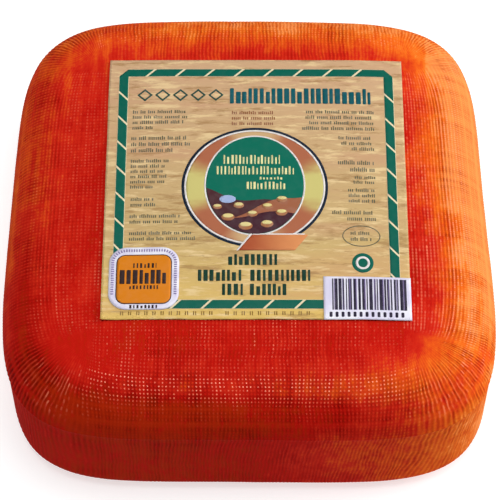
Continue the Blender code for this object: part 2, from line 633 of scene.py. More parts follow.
@dataclass(frozen=True)
class BlockForm:
    """The block's outer form, the same as its solid's.

    Its plan is a squared circle about a pole. From the top's pole its outline runs over a domed crown,
    a round shoulder, a raised seam and a straight side to the foot.

    Attributes:
        low_tilt: How far the shoulder leans where it meets the seam.
        top_tilt: How far it leans where it leaves the crown.
        squareness: The squared circle's power.
        bowing: How the sides bow, as (waves round the side, cosine, sine).
    """

    half_width: float = 100 * MM
    seam_height: float = 49.4 * MM
    seam_raise: float = 0.5 * MM
    seam_half_height: float = 2.0 * MM
    shoulder_radius: float = 20.8 * MM
    low_tilt: float = math.radians(76.5)
    top_tilt: float = math.radians(7.85)
    foot_radius: float = 9.8 * MM
    squareness: float = 5.1
    bowing: tuple[tuple[int, float, float], ...] = (
        (1, -0.008, -0.018), (2, -0.004, -0.003), (3, -0.003, -0.006),
    )

    @property
    def crown_radius(self) -> float:
        """Profile radius where the crown meets the shoulder."""
        run = self.shoulder_radius * (math.sin(self.low_tilt) - math.sin(self.top_tilt))
        return self.half_width - run

    @property
    def crown_edge_height(self) -> float:
        """Height where the crown meets the shoulder."""
        drop = self.shoulder_radius * (math.cos(self.top_tilt) - math.cos(self.low_tilt))
        return self.seam_height + self.seam_half_height + drop

    @property
    def crown_rise(self) -> float:
        """How far the crown's pole stands over its edge."""
        return self.crown_radius * math.tan(self.top_tilt) / 3

    @cached_property
    def pole(self) -> Point:
        """Where the plan's pole is in the frame, whose middle is the middle of the plan's box."""
        angles = np.linspace(0, math.tau, 720, endpoint=False)
        reach = (self.half_width + self.seam_raise) * self.reach(angles)
        x, y = reach * np.cos(angles), reach * np.sin(angles)
        return -(x.min() + x.max()) / 2, -(y.min() + y.max()) / 2

    def reach(self, angle: np.ndarray) -> np.ndarray:
        """How far the side is from the pole.

        Args:
            angle: Directions in the plan, in radians.

        Returns:
            The distance in each direction, as a share of the profile radius.
        """
        squared = np.abs(np.cos(angle)) ** self.squareness + np.abs(np.sin(angle)) ** self.squareness
        bow = sum(
            cosine * np.cos(waves * angle) + sine * np.sin(waves * angle)
            for waves, cosine, sine in self.bowing
        )
        return squared ** (-1 / self.squareness) * (1 + bow)

    def crown_share(self, x: np.ndarray, y: np.ndarray) -> np.ndarray:
        """How far a place about the pole is from it (0) to the crown's edge (1)."""
        return np.hypot(x, y) / (self.reach(np.arctan2(y, x)) * self.crown_radius)

    def crown_height(self, x: np.ndarray, y: np.ndarray) -> np.ndarray:
        """Height of the crown over a place about the pole."""
        return self.crown_edge_height + self.crown_rise * (1 - self.crown_share(x, y) ** 3)

    def top(self, x: np.ndarray, y: np.ndarray) -> np.ndarray:
        """Height of the crown over a place in the frame."""
        return self.crown_height(x - self.pole[0], y - self.pole[1])

    def seam_radius(self, offset: float) -> float:
        """Profile radius of the seam at this height above or below its middle."""
        bulge = (1 + math.cos(math.pi * offset / self.seam_half_height)) / 2
        return self.half_width + self.seam_raise * bulge


@dataclass
class Loop:
    """One closed line of points round the block, its last point the same as its first.

    Attributes:
        points: Places about the pole.
        along: The thread that each point is on, counted round the block.
        across: The thread that each point is on, counted outward from the core's rim.
        outward: Direction in the plan in which each point's column runs.
        zone: From 0 in the core to 1 at the shoulder, 2 at the seam's top, 3 at its foot, 4 where the
            side meets the foot, and 5 on the flat underside.
    """

    points: np.ndarray
    along: np.ndarray
    across: np.ndarray
    outward: np.ndarray
    zone: float

    @property
    def right(self) -> np.ndarray:
        """How squarely each column runs to the right, from 0 to 1."""
        return np.clip(self.outward[:, 0], 0, 1)

    @property
    def left(self) -> np.ndarray:
        """How squarely each column runs to the left, from 0 to 1."""
        return np.clip(-self.outward[:, 0], 0, 1)

    @property
    def back(self) -> np.ndarray:
        """How squarely each column runs to the back, from 0 to 1."""
        return np.clip(self.outward[:, 1], 0, 1)

    @property
    def front(self) -> np.ndarray:
        """How squarely each column runs to the front, from 0 to 1."""
        return np.clip(-self.outward[:, 1], 0, 1)

    @property
    def fan(self) -> np.ndarray:
        """How far each point is inside a corner's fan of threads, from 0 to 1."""
        across, forth = self.outward.T
        return 1 - (1 - 4 * across ** 2 * forth ** 2) ** 3

    def by_zone(self, *stops: Point) -> float:
        """Read a value that changes from zone to zone, given as stops of (zone, value)."""
        return float(np.interp(self.zone, *zip(*stops)))


@dataclass
class Rind:
    """The whole rind, one closed mesh whose points follow the threads of the cloth that pressed it."""

    THREADS = "threads"

    form: BlockForm
    pitch: float = 1.5 * MM
    side_threads: int = 83
    corner_threads: int = 26
    flat_rows: int = 8
    crown_rows: int = 27
    shoulder_rows: int = 33
    seam_rows: int = 8
    side_rows: int = 18
    foot_rows: int = 8
    crown_depth: float = 0.17 * MM
    shoulder_depth: float = 0.21 * MM
    corner_depth: float = 0.10 * MM
    side_depth: float = 0.15 * MM
    unevenness: float = 0.12 * MM
    slant: float = math.radians(8)
    finish: RindFinish = RindFinish()

    @property
    def core(self) -> float:
        """Half the side of the square in the top's middle, whose corners the threads fan out from."""
        return self.side_threads * self.pitch / 2

    @property
    def threads_round(self) -> int:
        """Threads all the way round."""
        return 4 * (self.side_threads + self.corner_threads)

    def sides(self) -> Iterator[tuple[int, np.ndarray, np.ndarray]]:
        """Go round the four sides.

        Yields:
            A side's first thread, the direction out of it and the direction along it.
        """
        for side in range(4):
            turn = side * QUARTER_TURN
            straight = np.array((math.sin(turn), -math.cos(turn)))
            sideways = np.array((math.cos(turn), math.sin(turn)))
            yield side * (self.side_threads + self.corner_threads), straight, sideways

    def edge_rows(
        self, first: int, straight: np.ndarray, sideways: np.ndarray, half: float, segments: int
    ) -> list:
        """Lay out points along one edge of a square.

        Args:
            first: The side's first thread.
            straight: Direction out of the side.
            sideways: Direction along it.
            half: Half the square's width.
            segments: How many steps the edge has.

        Returns:
            Each point's place, the direction of its column and its thread.
        """
        return [
            (half * straight + offset * sideways, straight, first + (offset + self.core) / self.pitch)
            for offset in np.linspace(-half, half, segments + 1)
        ]

    def closed(self, rows: list) -> Iterator[np.ndarray]:
        """Repeat the first row at the end, one turn on, and make an array of each column."""
        place, outward, thread = rows[0]
        return map(np.array, zip(*rows, (place, outward, thread + self.threads_round)))

    def columns(self, fan_steps: int) -> Iterator[np.ndarray]:
        """Lay out the columns that run outward from the core.

        Args:
            fan_steps: How many steps a corner's fan has.

        Returns:
            Where each starts about the pole, its direction, and its thread counted along the loop.
        """
        rows = []
        for first, straight, sideways in self.sides():
            rows += self.edge_rows(first, straight, sideways, self.core, 2 * self.side_threads)
            for step in range(1, fan_steps):
                angle = QUARTER_TURN * step / fan_steps
                outward = math.cos(angle) * straight + math.sin(angle) * sideways
                thread = first + self.side_threads + self.corner_threads * step / fan_steps
                rows.append((self.core * (straight + sideways), outward, thread))
        return self.closed(rows)

    def meet(self, starts: np.ndarray, outward: np.ndarray, radius: float) -> np.ndarray:
        """Find where columns meet a ring of the outline, by halving.

        Args:
            starts: Where the columns start, about the pole.
            outward: Their directions.
            radius: The ring's profile radius.

        Returns:
            How far each column runs to the ring.
        """
        low = np.zeros(len(starts))
        high = np.full(len(starts), self.core)
        for _ in range(36):
            middle = (low + high) / 2
            x, y = (starts + outward * middle[:, None]).T
            outside = np.hypot(x, y) > radius * self.form.reach(np.arctan2(y, x))
            high = np.where(outside, middle, high)
            low = np.where(outside, low, middle)
        return (low + high) / 2

    def on_crown(self, plan: np.ndarray) -> np.ndarray:
        """Raise places in the plan to the crown."""
        return np.column_stack((plan, self.form.crown_height(*plan.T)))

    def square_loop(self, half: float, segments: int) -> Loop:
        """Lay a square line of points on the crown, inside the core.

        Args:
            half: Half the square's width.
            segments: How many steps each of its edges has.

        Returns:
            The loop.
        """
        rows = [row for side in self.sides() for row in self.edge_rows(*side, half, segments)]
        plan, outward, along = self.closed(rows)
        across = np.full(len(plan), (half - self.core) / self.pitch)
        return Loop(self.on_crown(plan), along, across, outward, 0.0)

    def point_loop(self, height: float) -> Loop:
        """A single point at the pole, as the end of the stack of loops."""
        along = np.array((0.0, float(self.threads_round)))
        return Loop(np.array([(0.0, 0.0, height)] * 2), along, np.zeros(2), np.array([(0.0, -1.0)] * 2), 5.0)

    def core_loops(self) -> Iterator[Loop]:
        """Go from the pole to the core's rim, coarsely under the label and then thread by thread.

        Yields:
            Each loop.
        """
        yield self.point_loop(self.form.crown_edge_height + self.form.crown_rise)
        for half, segments in ((24 * MM, 4), (45 * MM, 15), (54 * MM, 36)):
            yield self.square_loop(half, segments)
        for row in range(self.flat_rows, -1, -1):
            yield self.square_loop(self.core - row * self.pitch / 2, 2 * (self.side_threads - row))

    def fan_steps(self, row: int) -> int:
        """Count the steps in a corner's fan, fewer where it is narrow.

        Args:
            row: The crown's row, from 1 at the core's rim.

        Returns:
            The number of steps.
        """
        full = 2 * self.corner_threads
        for narrow_rows, share in ((3, 8), (6, 4), (12, 2)):
            if row < narrow_rows:
                return full // share
        return full

    def crown_loops(self) -> Iterator[Loop]:
        """Go from the core's rim to the shoulder.

        Yields:
            Each loop.
        """
        for row in range(1, self.crown_rows + 1):
            starts, outward, along = self.columns(self.fan_steps(row))
            zone = row / self.crown_rows
            run = self.meet(starts, outward, self.form.crown_radius) * zone
            plan = starts + outward * run[:, None]
            yield Loop(self.on_crown(plan), along, np.full(len(plan), row / 2), outward, zone)

    def outline_rows(self) -> Iterator[tuple[float, float, float]]:
        """Go down the outline from the shoulder to the foot.

        Yields:
            Each row's profile radius, height and zone.
        """
        form = self.form
        for row in range(1, self.shoulder_rows + 1):
            share = row / self.shoulder_rows
            tilt = form.top_tilt + (form.low_tilt - form.top_tilt) * share
            run = form.shoulder_radius * (math.sin(tilt) - math.sin(form.top_tilt))
            drop = form.shoulder_radius * (math.cos(form.top_tilt) - math.cos(tilt))
            yield form.crown_radius + run, form.crown_edge_height - drop, 1 + share
        for row in range(1, self.seam_rows + 1):
            share = row / self.seam_rows
            offset = form.seam_half_height * (1 - 2 * share)
            yield form.seam_radius(offset), form.seam_height + offset, 2 + share
        top = form.seam_height - form.seam_half_height
        for row in range(1, self.side_rows + 1):
            share = row / self.side_rows
            yield form.half_width, blend(top, form.foot_radius, share), 3 + share
        for row in range(1, self.foot_rows + 1):
            turn = QUARTER_TURN * row / self.foot_rows
            radius = form.half_width - form.foot_radius * (1 - math.cos(turn))
            yield radius, form.foot_radius * (1 - math.sin(turn)), 4 + row / self.foot_rows

    def side_loops(self) -> Iterator[Loop]:
        """Go over the shoulder and down the side, then across the foot to its middle.

        Yields:
            Each loop.
        """
        starts, outward, along = self.columns(2 * self.corner_threads)
        across = self.crown_rows / 2
        last = (self.form.crown_radius, self.form.crown_edge_height)
        for radius, height, zone in self.outline_rows():
            step = math.hypot(radius - last[0], height - last[1]) / self.pitch
            across += 0.5 if zone <= 2 else step
            last = (radius, height)
            plan = starts + outward * self.meet(starts, outward, radius)[:, None]
            points = np.column_stack((plan, np.full(len(plan), height)))
            loop = Loop(points, along, np.full(len(plan), across), outward, zone)
            yield loop
        for share, step in ((0.94, 1), (0.66, 4), (0.30, 8)):
            inner = loop.points[::step] * (share, share, 1.0)
            yield Loop(inner, along[::step], loop.across[::step], outward[::step], 5.0)
        yield self.point_loop(0.0)

    def shifted(self, loop: Loop) -> np.ndarray:
        """Slide points along their loop, so that threads wander, and lean below the seam.

        Args:
            loop: The loop.

        Returns:
            Where its points go.
        """
        x, y, z = loop.points.T
        wander = 0.40 * Ripple(5, 30 * MM).at(x, y, z) + 0.13 * Ripple(6, 7 * MM).at(x, y, z)
        shift = wander * smooth_step(loop.zone, 0.0, 0.35)
        below = np.clip(self.form.seam_height - z, 0, None)
        leaning = toward(np.arctan2(y, x), -48) ** 2
        shift -= below * math.tan(self.slant) * leaning / self.pitch
        shift *= loop.zone < 5
        turn = float(self.threads_round)
        along = np.concatenate((loop.along[:-1] - turn, loop.along, loop.along[1:] + turn))
        moved = loop.points.copy()
        for axis in range(3):
            line = loop.points[:, axis]
            line = np.concatenate((line[:-1], line, line[1:]))
            moved[:, axis] = np.interp(loop.along + shift, along, line)
        return moved

    def rib_weights(self, loop: Loop) -> tuple[np.ndarray, np.ndarray]:
        """Say how strongly the threads show.

        On the crown the threads that run front to back show most, in front with their crossings as
        dots. Over the shoulder the threads that run down the side take over.

        Args:
            loop: Where to say it.

        Returns:
            From 0 to 1 at each point, for the threads that run outward and for those that run round.
        """
        across, forth = loop.outward.T
        crown_along = blend(1 - 0.5 * across ** 2 - 0.25 * loop.right ** 2, 1.0, loop.fan)
        crown_across = blend(blend(0.65 - 0.22 * forth, 1.0, across ** 2), 0.06, loop.fan)
        crown_across = crown_across * loop.by_zone((0.6, 0.6), (0.95, 1.0))
        past = loop.zone - 1
        late = np.maximum(loop.front, 0.3 * loop.right)
        taken_over = blend(smooth_step(past, 0.0, 0.4), smooth_step(past, 0.25, 0.62), late)
        side_across = blend(0.48, 0.10, smooth_step(past, 0.9, 2.0)) * (1 - 0.9 * loop.fan)
        along = blend(crown_along, 1.0, smooth_step(past, 0.0, 0.35))
        return along, blend(crown_across, side_across, taken_over)

    @staticmethod
    def unequal(threads: np.ndarray, count: int, spread: float, draw: np.random.Generator) -> np.ndarray:
        """Make some threads deeper than others.

        Args:
            threads: Places counted in threads.
            count: How many threads there are.
            spread: How unequal they are.
            draw: Where the random values come from.

        Returns:
            A factor for the depth at each place.
        """
        factors = 1 + spread * draw.normal(size=count)
        return np.interp(threads, np.arange(count) + 0.5, factors)

    def depth(self, loop: Loop) -> np.ndarray:
        """Say how deep the cloth pressed.

        Args:
            loop: Where to say it.

        Returns:
            The depth at each point, in metres.
        """
        x, y, z = loop.points.T
        crown, shoulder, side = self.crown_depth, self.shoulder_depth, self.side_depth
        usual = loop.by_zone(
            (0.0, crown * 0.5), (0.8, crown * 0.6), (1.0, crown), (1.3, shoulder), (1.6, side),
            (3.0, side), (4.0, side * 0.8), (4.6, side * 0.2), (5.0, 0.0),
        )
        in_fan = loop.by_zone((0.5, 0.4), (1.0, 1.0), (2.0, 0.6), (3.0, 0.0))
        depth = usual + loop.fan * self.corner_depth * in_fan
        depth *= 1 - 0.20 * loop.left ** 3
        depth *= 1 + 0.6 * loop.right ** 3 * loop.by_zone((0.9, 1.0), (1.1, 0.0))
        from_core = np.hypot(np.abs(x) - self.core, np.abs(y) - self.core) + 6 * MM * loop.right
        depth *= blend(smooth_step(from_core, 17 * MM, 27 * MM), 1.0, smooth_step(loop.zone, 1.15, 1.5))
        draw = np.random.default_rng(21)
        depth *= self.unequal(loop.along % self.threads_round, self.threads_round, 0.28, draw)
        depth *= self.unequal(loop.across + 10, 80, 0.25, draw)
        patches = 0.80 + 0.35 * Ripple(8, 22 * MM).at(x, y, z) + 0.18 * Ripple(9, 6 * MM).at(x, y, z)
        even = 0.7 * np.maximum(loop.right, loop.back) ** 2
        return depth * blend(np.clip(patches, 0.25, 1.5), 0.9, even)

    def tint(self, points: np.ndarray) -> np.ndarray:
        """Say how orange the rind is, with painted shade on the front's shoulder and side and painted light
        toward the key light's side.

        Args:
            points: Places about the pole.

        Returns:
            From 0, deep red, to 1, orange.
        """
        x, y, z = points.T
        angle = np.arctan2(y, x)
        rim = smooth_step(self.form.crown_share(x, y), 0.80, 1.12)
        drop = self.form.crown_edge_height - z
        front, left = toward(angle, -98) ** 1.5, toward(angle, 180) ** 3
        # Partly the rind's own orange, partly painted light: the rim turns more orange toward the right and
        # back, where the key light comes from.
        lit = 0.5 + 0.5 * np.cos(angle - math.radians(25))
        orange = 0.37 + rim * (0.50 * lit + 0.19) + 0.11 * np.clip(x / self.form.half_width, -1, 1)
        # Painted shade: the front's rim and shoulder darken toward the painted shade brown, a little less
        # lower down.
        painted_front_shade = 0.45 * smooth_step(drop, 0.0, 5 * MM) - 0.07 * smooth_step(drop, 12 * MM, 24 * MM)
        orange -= front * (0.19 * rim + painted_front_shade)
        orange -= 0.12 * smooth_step(y, 55 * MM, 80 * MM) * smooth_step(x, 0.0, 40 * MM)
        orange -= 0.12 * smooth_step(-y, 30 * MM, 75 * MM) * (1 - rim)
        orange -= 0.09 * smooth_step(x, 45 * MM, 70 * MM) * (1 - rim)
        # Painted light: more orange low on the front-right, where the key light reaches.
        orange += 0.12 * toward(angle, -45) ** 4 * smooth_step(drop, 5 * MM, 20 * MM)
        on_left = 0.13 + 0.20 * smooth_step(-y, -10 * MM, 30 * MM)
        orange += left * smooth_step(drop, 2 * MM, 12 * MM) * on_left
        calm = (1 - 0.6 * front) * (1 - 0.65 * left)
        orange += calm * 0.10 * Ripple(12, 45 * MM).at(x, y, z)
        orange += calm * 0.07 * Ripple(13, 14 * MM).at(x, y, z)
        return orange + 0.05 * Ripple(14, 9 * MM).at(x * 1.6, y * 0.25, z)

    @staticmethod
    def oil_and_painted_glint(loop: Loop) -> np.ndarray:
        """Say how much oil and painted glint the crests of the cloth's print get: most round the top's edge,
        where the lights glint, less at the back and left.

        Args:
            loop: Where to say it.

        Returns:
            From 0 to a little over 1 at each point.
        """
        right, left, back = loop.right ** 2, loop.left ** 2, loop.back ** 2
        edge = loop.by_zone((0.88, 0.12), (1.03, 1.0), (1.24, 1.0), (1.45, 0.08), (1.90, 0.0))
        edge = edge + 0.20 * right * loop.by_zone((0.88, 1.0), (1.03, 0.0))
        edge = edge + 0.12 * left * loop.by_zone((0.45, 0.0), (0.60, 1.0), (0.85, 0.0))
        elsewhere = left * loop.by_zone((0.75, 0.20), (0.95, 0.93)) + 0.65 * back
        ribs = loop.by_zone((1.08, 0.0), (1.30, 0.32), (1.65, 0.25), (1.90, 0.0))
        return blend(edge, ribs, loop.fan ** 0.3) * (1 - elsewhere)

    def values(self, loop: Loop) -> dict[str, np.ndarray]:
        """Work out everything that the mesh keeps at a loop's points.

        Args:
            loop: The loop.

        Returns:
            What the finish reads, by name, and as "sunk" how far each point lies under the form.
        """
        along, across = self.rib_weights(loop)
        depth = self.depth(loop)
        ribs = 1 - along * np.cos(math.pi * loop.along) ** 2
        dots = 1 - across * np.cos(math.pi * loop.across) ** 2
        return {
            "depth": depth,
            "ribs_along": along,
            "ribs_across": across,
            "tint": self.tint(loop.points),
            "oil_and_painted_glint": self.oil_and_painted_glint(loop),
            "fine": loop.by_zone((0.6, 0.0), (0.95, 1.0)) * loop.right ** 3,
            "sunk": depth * (1 - ribs * dots),
        }

    def stitch(self, inner: Loop, outer: Loop, first: int, second: int) -> Iterator[tuple[tuple, tuple]]:
        """Fill between two loops, from thread to thread.

        Args:
            inner: The loop nearer the top's pole.
            outer: The next loop.
            first: Number of the inner loop's first point.
            second: Number of the outer loop's first point.

        Yields:
            Each face as its point numbers and their places on the cloth.
        """
        here, there = 0, 0
        last_here, last_there = len(inner.along) - 1, len(outer.along) - 1

        def corner(loop: Loop, offset: int, index: int) -> tuple[int, Point]:
            """One corner of a face."""
            return offset + index, (loop.along[index], loop.across[index])

        def moves(loop: Loop, index: int) -> bool:
            """Whether a loop's next point is at another place than this one."""
            return not np.allclose(loop.points[index], loop.points[index + 1], atol=1e-9)

        while here < last_here or there < last_there:
            next_here = inner.along[here + 1] if here < last_here else math.inf
            next_there = outer.along[there + 1] if there < last_there else math.inf
            go_here = next_here <= next_there + 1e-6
            go_there = next_there <= next_here + 1e-6
            moves_here = go_here and moves(inner, here)
            moves_there = go_there and moves(outer, there)
            base = here + 1 if go_here and not moves_here else here
            face = [corner(inner, first, base), corner(outer, second, there)]
            if moves_there:
                face.append(corner(outer, second, there + 1))
            if moves_here:
                face.append(corner(inner, first, here + 1))
            if len(face) > 2:
                yield tuple(zip(*face))
            here += go_here
            there += go_there

    def woven_mesh(self, loops: list[Loop]) -> bpy.types.Mesh:
        """Make one closed mesh of the loops.

        Args:
            loops: From the top's pole to the foot's.

        Returns:
            The mesh, with the values that belong to its points and its places on the cloth.
        """
        faces, places = [], []
        firsts = np.cumsum([0] + [len(loop.points) for loop in loops]).tolist()
        for inner, outer, first, second in zip(loops, loops[1:], firsts, firsts[1:]):
            for face, place in self.stitch(inner, outer, first, second):
                faces.append(face)
                places.extend(place)
        mesh = bpy.data.meshes.new("rind")
        points = np.concatenate([loop.points for loop in loops]) + (*self.form.pole, 0.0)
        mesh.from_pydata(points.tolist(), [], faces)
        layer = mesh.uv_layers.new(name=self.THREADS)
        layer.data.foreach_set("uv", np.array(places, np.float32).ravel())
        values = [self.values(loop) for loop in loops]
        for name in values[0]:
            attribute = mesh.attributes.new(name, "FLOAT", "POINT")
            column = np.concatenate([row[name] for row in values])
            attribute.data.foreach_set("value", column.astype(np.float32))
        return mesh

    def build(self) -> bpy.types.Object:
        """Build the rind and dress it.

        Returns:
            The rind, in place of the solid.
        """
        loops = [*self.core_loops(), *self.crown_loops(), *self.side_loops()]
        for loop in loops:
            loop.points = self.shifted(loop)
        mesh = self.woven_mesh(loops)
        self.weld(mesh)
        self.sink(mesh)
        mesh.shade_smooth()
        mesh.materials.append(self.finish.material())
        rind = add_piece("rind", mesh)
        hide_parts("cheese")
        return rind

    @staticmethod
    def weld(mesh: bpy.types.Mesh) -> None:
        """Join the points that lie on each other.

        Args:
            mesh: The mesh to change.
        """
        bm = bmesh.new()
        bm.from_mesh(mesh)
        bmesh.ops.remove_doubles(bm, verts=bm.verts, dist=1e-6)
        bm.to_mesh(mesh)
        bm.free()

    def sink(self, mesh: bpy.types.Mesh) -> None:
        """Press the grooves into the mesh, and make it a little uneven.

        Args:
            mesh: The mesh to change, which keeps how far each point goes in as "sunk".
        """
        points = mesh_points(mesh)
        normals, sunk = np.empty(points.size, np.float32), np.empty(len(points), np.float32)
        mesh.vertex_normals.foreach_get("vector", normals)
        mesh.attributes["sunk"].data.foreach_get("value", sunk)
        x, y, z = points.T
        uneven = self.unevenness * (1 + Ripple(31, 26 * MM).at(x, y, z)) / 2
        uneven *= smooth_step(z, 0.2 * MM, 6 * MM)
        points -= normals.reshape(-1, 3) * (sunk + np.clip(uneven, 0, None))[:, None]
        points[:, 2] = np.maximum(points[:, 2], 0)
        mesh.attributes.remove(mesh.attributes["sunk"])
        move_points(mesh, points)


def mesh_points(mesh: bpy.types.Mesh) -> np.ndarray:
    """Read a mesh's points.

    Args:
        mesh: The mesh.

    Returns:
        Their places, a row for each.
    """
    points = np.empty(3 * len(mesh.vertices), np.float32)
    mesh.vertices.foreach_get("co", points)
    return points.reshape(-1, 3)


def move_points(mesh: bpy.types.Mesh, points: np.ndarray) -> None:
    """Give a mesh's points new places, a row for each."""
    mesh.vertices.foreach_set("co", points.astype(np.float32).ravel())
    mesh.update()


def finished_mesh(bm: bmesh.types.BMesh, name: str) -> bpy.types.Mesh:
    """Turn what was built into a mesh.

    Args:
        bm: What was built, which is freed.
        name: The mesh's name.

    Returns:
        The mesh.
    """
    mesh = bpy.data.meshes.new(name)
    bm.to_mesh(mesh)
    bm.free()
    return mesh


def add_piece(name: str, mesh: bpy.types.Mesh) -> bpy.types.Object:
    """Put a mesh in the scene.

    Args:
        name: The piece's name.
        mesh: Its mesh.

    Returns:
        The piece, which rides on the block.
    """
    piece = bpy.data.objects.new(name, mesh)
    bpy.context.scene.collection.objects.link(piece)
    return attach(piece, "root")


def solidify(piece: bpy.types.Object, thickness: float) -> None:
    """Give a sheet its thickness, below the face that was drawn.

    Args:
        piece: The sheet.
        thickness: How thick it gets.
    """
    modifier = piece.modifiers.new("thickness", "SOLIDIFY")
    modifier.thickness = thickness
    modifier.offset = -1.0


# Papers


@dataclass
class Paper:
    """A sheet of paper that lies on something, in place of its thicker solid."""

    node: str
    slot: str
    finish: LabelFinish | StickerFinish
    thickness: float
    gap: float
    corner: float = 0.0
    cell: float = 1.0 * MM
    off_centre: Point = (0.0, 0.0)

    @cached_property
    def middle(self) -> Point:
        """Middle of the paper in the frame."""
        low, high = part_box(self.node)
        return (low.x + high.x) / 2, (low.y + high.y) / 2

    @cached_property
    def size(self) -> Point:
        """Width and depth of the paper."""
        low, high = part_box(self.node)
        return high.x - low.x, high.y - low.y

    def ground(self, x: np.ndarray, y: np.ndarray) -> np.ndarray:
        """Height of what the paper lies on."""
        raise NotImplementedError

    def lift(self, x: np.ndarray, y: np.ndarray) -> np.ndarray:
        """How far waves and creases lift the paper."""
        return np.zeros(np.shape(x))

    @property
    def print_middle(self) -> Point:
        """Where the print's own middle is in the frame."""
        return self.middle[0] + self.off_centre[0], self.middle[1] + self.off_centre[1]

    def top(self, x: np.ndarray, y: np.ndarray) -> np.ndarray:
        """Height of the paper's upper face at a place in the frame."""
        return self.ground(x, y) + self.gap + self.lift(x, y) + self.thickness

    def edge_share(self, x: float, y: float) -> float:
        """Find where the rounded corner cuts a ray from the middle.

        Args:
            x: Where the ray meets the sharp outline.
            y: The same.

        Returns:
            The share of the ray inside the corner, 1 where it misses the corner's arc.
        """
        centre_x, centre_y = self.size[0] / 2 - self.corner, self.size[1] / 2 - self.corner
        if self.corner == 0 or abs(x) <= centre_x or abs(y) <= centre_y:
            return 1.0
        along = abs(x) * centre_x + abs(y) * centre_y
        length = x * x + y * y
        gap = centre_x ** 2 + centre_y ** 2 - self.corner ** 2
        return (along + math.sqrt(along * along - length * gap)) / length

    def outline_shift(self, x: np.ndarray, y: np.ndarray) -> tuple[np.ndarray, np.ndarray]:
        """Where a point of the straight grid goes, so that cut edges aren't dead straight."""
        return x, y

    def build(self) -> bpy.types.Object:
        """Build the sheet and dress it.

        Returns:
            The sheet, in place of its solid.
        """
        half_x, half_y = self.size[0] / 2, self.size[1] / 2
        cells = round(self.size[0] / self.cell), round(self.size[1] / self.cell)
        bm = bmesh.new()
        bmesh.ops.create_grid(bm, x_segments=cells[0], y_segments=cells[1], size=1.0)
        for vert in bm.verts:
            ring = max(abs(vert.co.x), abs(vert.co.y))
            if ring > 0:
                edge = vert.co.x / ring * half_x, vert.co.y / ring * half_y
                share = ring * self.edge_share(*edge)
                vert.co.x, vert.co.y = edge[0] * share, edge[1] * share
        mesh = finished_mesh(bm, self.node)
        points = mesh_points(mesh).astype(float)
        x, y = self.outline_shift(points[:, 0], points[:, 1])
        x, y = x + self.middle[0], y + self.middle[1]
        move_points(mesh, np.column_stack((x, y, self.top(x, y))))
        mesh.shade_smooth()
        mesh.materials.append(self.finish.material())
        sheet = add_piece(f"{self.node}_sheet", mesh)
        solidify(sheet, self.thickness)
        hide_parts(self.node)
        return sheet


@dataclass
class LabelSheet(Paper):
    """The big label, stuck over the domed crown with a few creases and a lifted left edge."""

    form: BlockForm = BlockForm()
    wave: float = 0.10 * MM
    crease: float = 0.16 * MM
    crease_count: int = 13
    left_lift: float = 0.95 * MM
    left_reach: float = 4.5 * MM
    front_lift: float = 0.22 * MM
    front_reach: float = 2.5 * MM
    edge_waver: float = 0.20 * MM

    def ground(self, x: np.ndarray, y: np.ndarray) -> np.ndarray:
        """Height of the crown."""
        return self.form.top(x, y)

    def creases(self, across: np.ndarray, forth: np.ndarray) -> np.ndarray:
        """Lay creases from side to side, each bowed and dying out at its ends.

        Args:
            across: Places to the right of the label's middle.
            forth: The same, to the back.

        Returns:
            Their height at each place, 1 on the strongest crease.
        """
        draw = np.random.default_rng(43)
        total = np.zeros(np.shape(across))
        for _ in range(self.crease_count):
            place = draw.uniform(-0.46, 0.46) * self.size[1]
            start = draw.uniform(-0.5, 0.5) * self.size[0]
            lean = draw.normal() * 0.05
            width = draw.uniform(1.1, 2.4) * MM
            length = draw.uniform(18, 60) * MM
            bow = 1.2 * MM * np.sin((across - start) / (17 * MM))
            ridge = np.exp(-(((forth - place - lean * across + bow) / width) ** 2))
            total += draw.uniform(0.4, 1.0) * ridge * np.exp(-(((across - start) / length) ** 2))
        return total

    def lift(self, x: np.ndarray, y: np.ndarray) -> np.ndarray:
        """Lift the label by its waves, its creases and its loose left and front edges.

        Args:
            x: Places in the frame.
            y: The same.

        Returns:
            How far each place is lifted.
        """
        across, forth = x - self.middle[0], y - self.middle[1]
        waves = self.wave * (1 + Ripple(41, 34 * MM).at(across, forth * 1.8)) / 2
        from_left, from_front = across + self.size[0] / 2, forth + self.size[1] / 2
        loose = 0.45 + 0.55 * smooth_step(-forth, -20 * MM, 55 * MM)
        left = self.left_lift * loose * np.exp(-np.clip(from_left, 0, None) / self.left_reach)
        front = self.front_lift * np.exp(-np.clip(from_front, 0, None) / self.front_reach)
        front *= 1 + Ripple(47, 24 * MM).at(across)
        creased = self.crease * self.creases(across, forth)
        return np.clip(waves, 0, None) + creased + left + np.clip(front, 0, None)

    def outline_shift(self, x: np.ndarray, y: np.ndarray) -> tuple[np.ndarray, np.ndarray]:
        """Let the front and left edges waver inwards a little.

        Args:
            x: Places from the label's middle.
            y: The same.

        Returns:
            Where they go.
        """
        half_x, half_y = self.size[0] / 2, self.size[1] / 2
        front = smooth_step(-y, half_y - 8 * MM, half_y) * (1 + Ripple(51, 38 * MM).at(x)) / 2
        left = smooth_step(-x, half_x - 8 * MM, half_x) * (1 + Ripple(52, 45 * MM).at(y)) / 2
        return x + self.edge_waver * left, y + self.edge_waver * front


@dataclass
class Sticker(Paper):
    """A sticker on the label."""

    label: LabelSheet | None = None

    def ground(self, x: np.ndarray, y: np.ndarray) -> np.ndarray:
        """Height of the label's upper face."""
        return self.label.top(x, y)


# Print


def cut(polygon: Polygon, inside: Callable[[Point], float]) -> Polygon:
    """Cut a convex polygon with a straight line.

    Args:
        polygon: Its corners in order.
        inside: Grows evenly away from the line, 0 on it and positive on the side that is kept.

    Returns:
        The part that is kept, empty if there is none.
    """
    kept: Polygon = []
    for here, there in zip(polygon, polygon[1:] + polygon[:1]):
        near, far = inside(here), inside(there)
        if near >= 0:
            kept.append(here)
        if near * far < 0:
            share = near / (near - far)
            x = here[0] + (there[0] - here[0]) * share
            y = here[1] + (there[1] - here[1]) * share
            kept.append((x, y))
    return kept


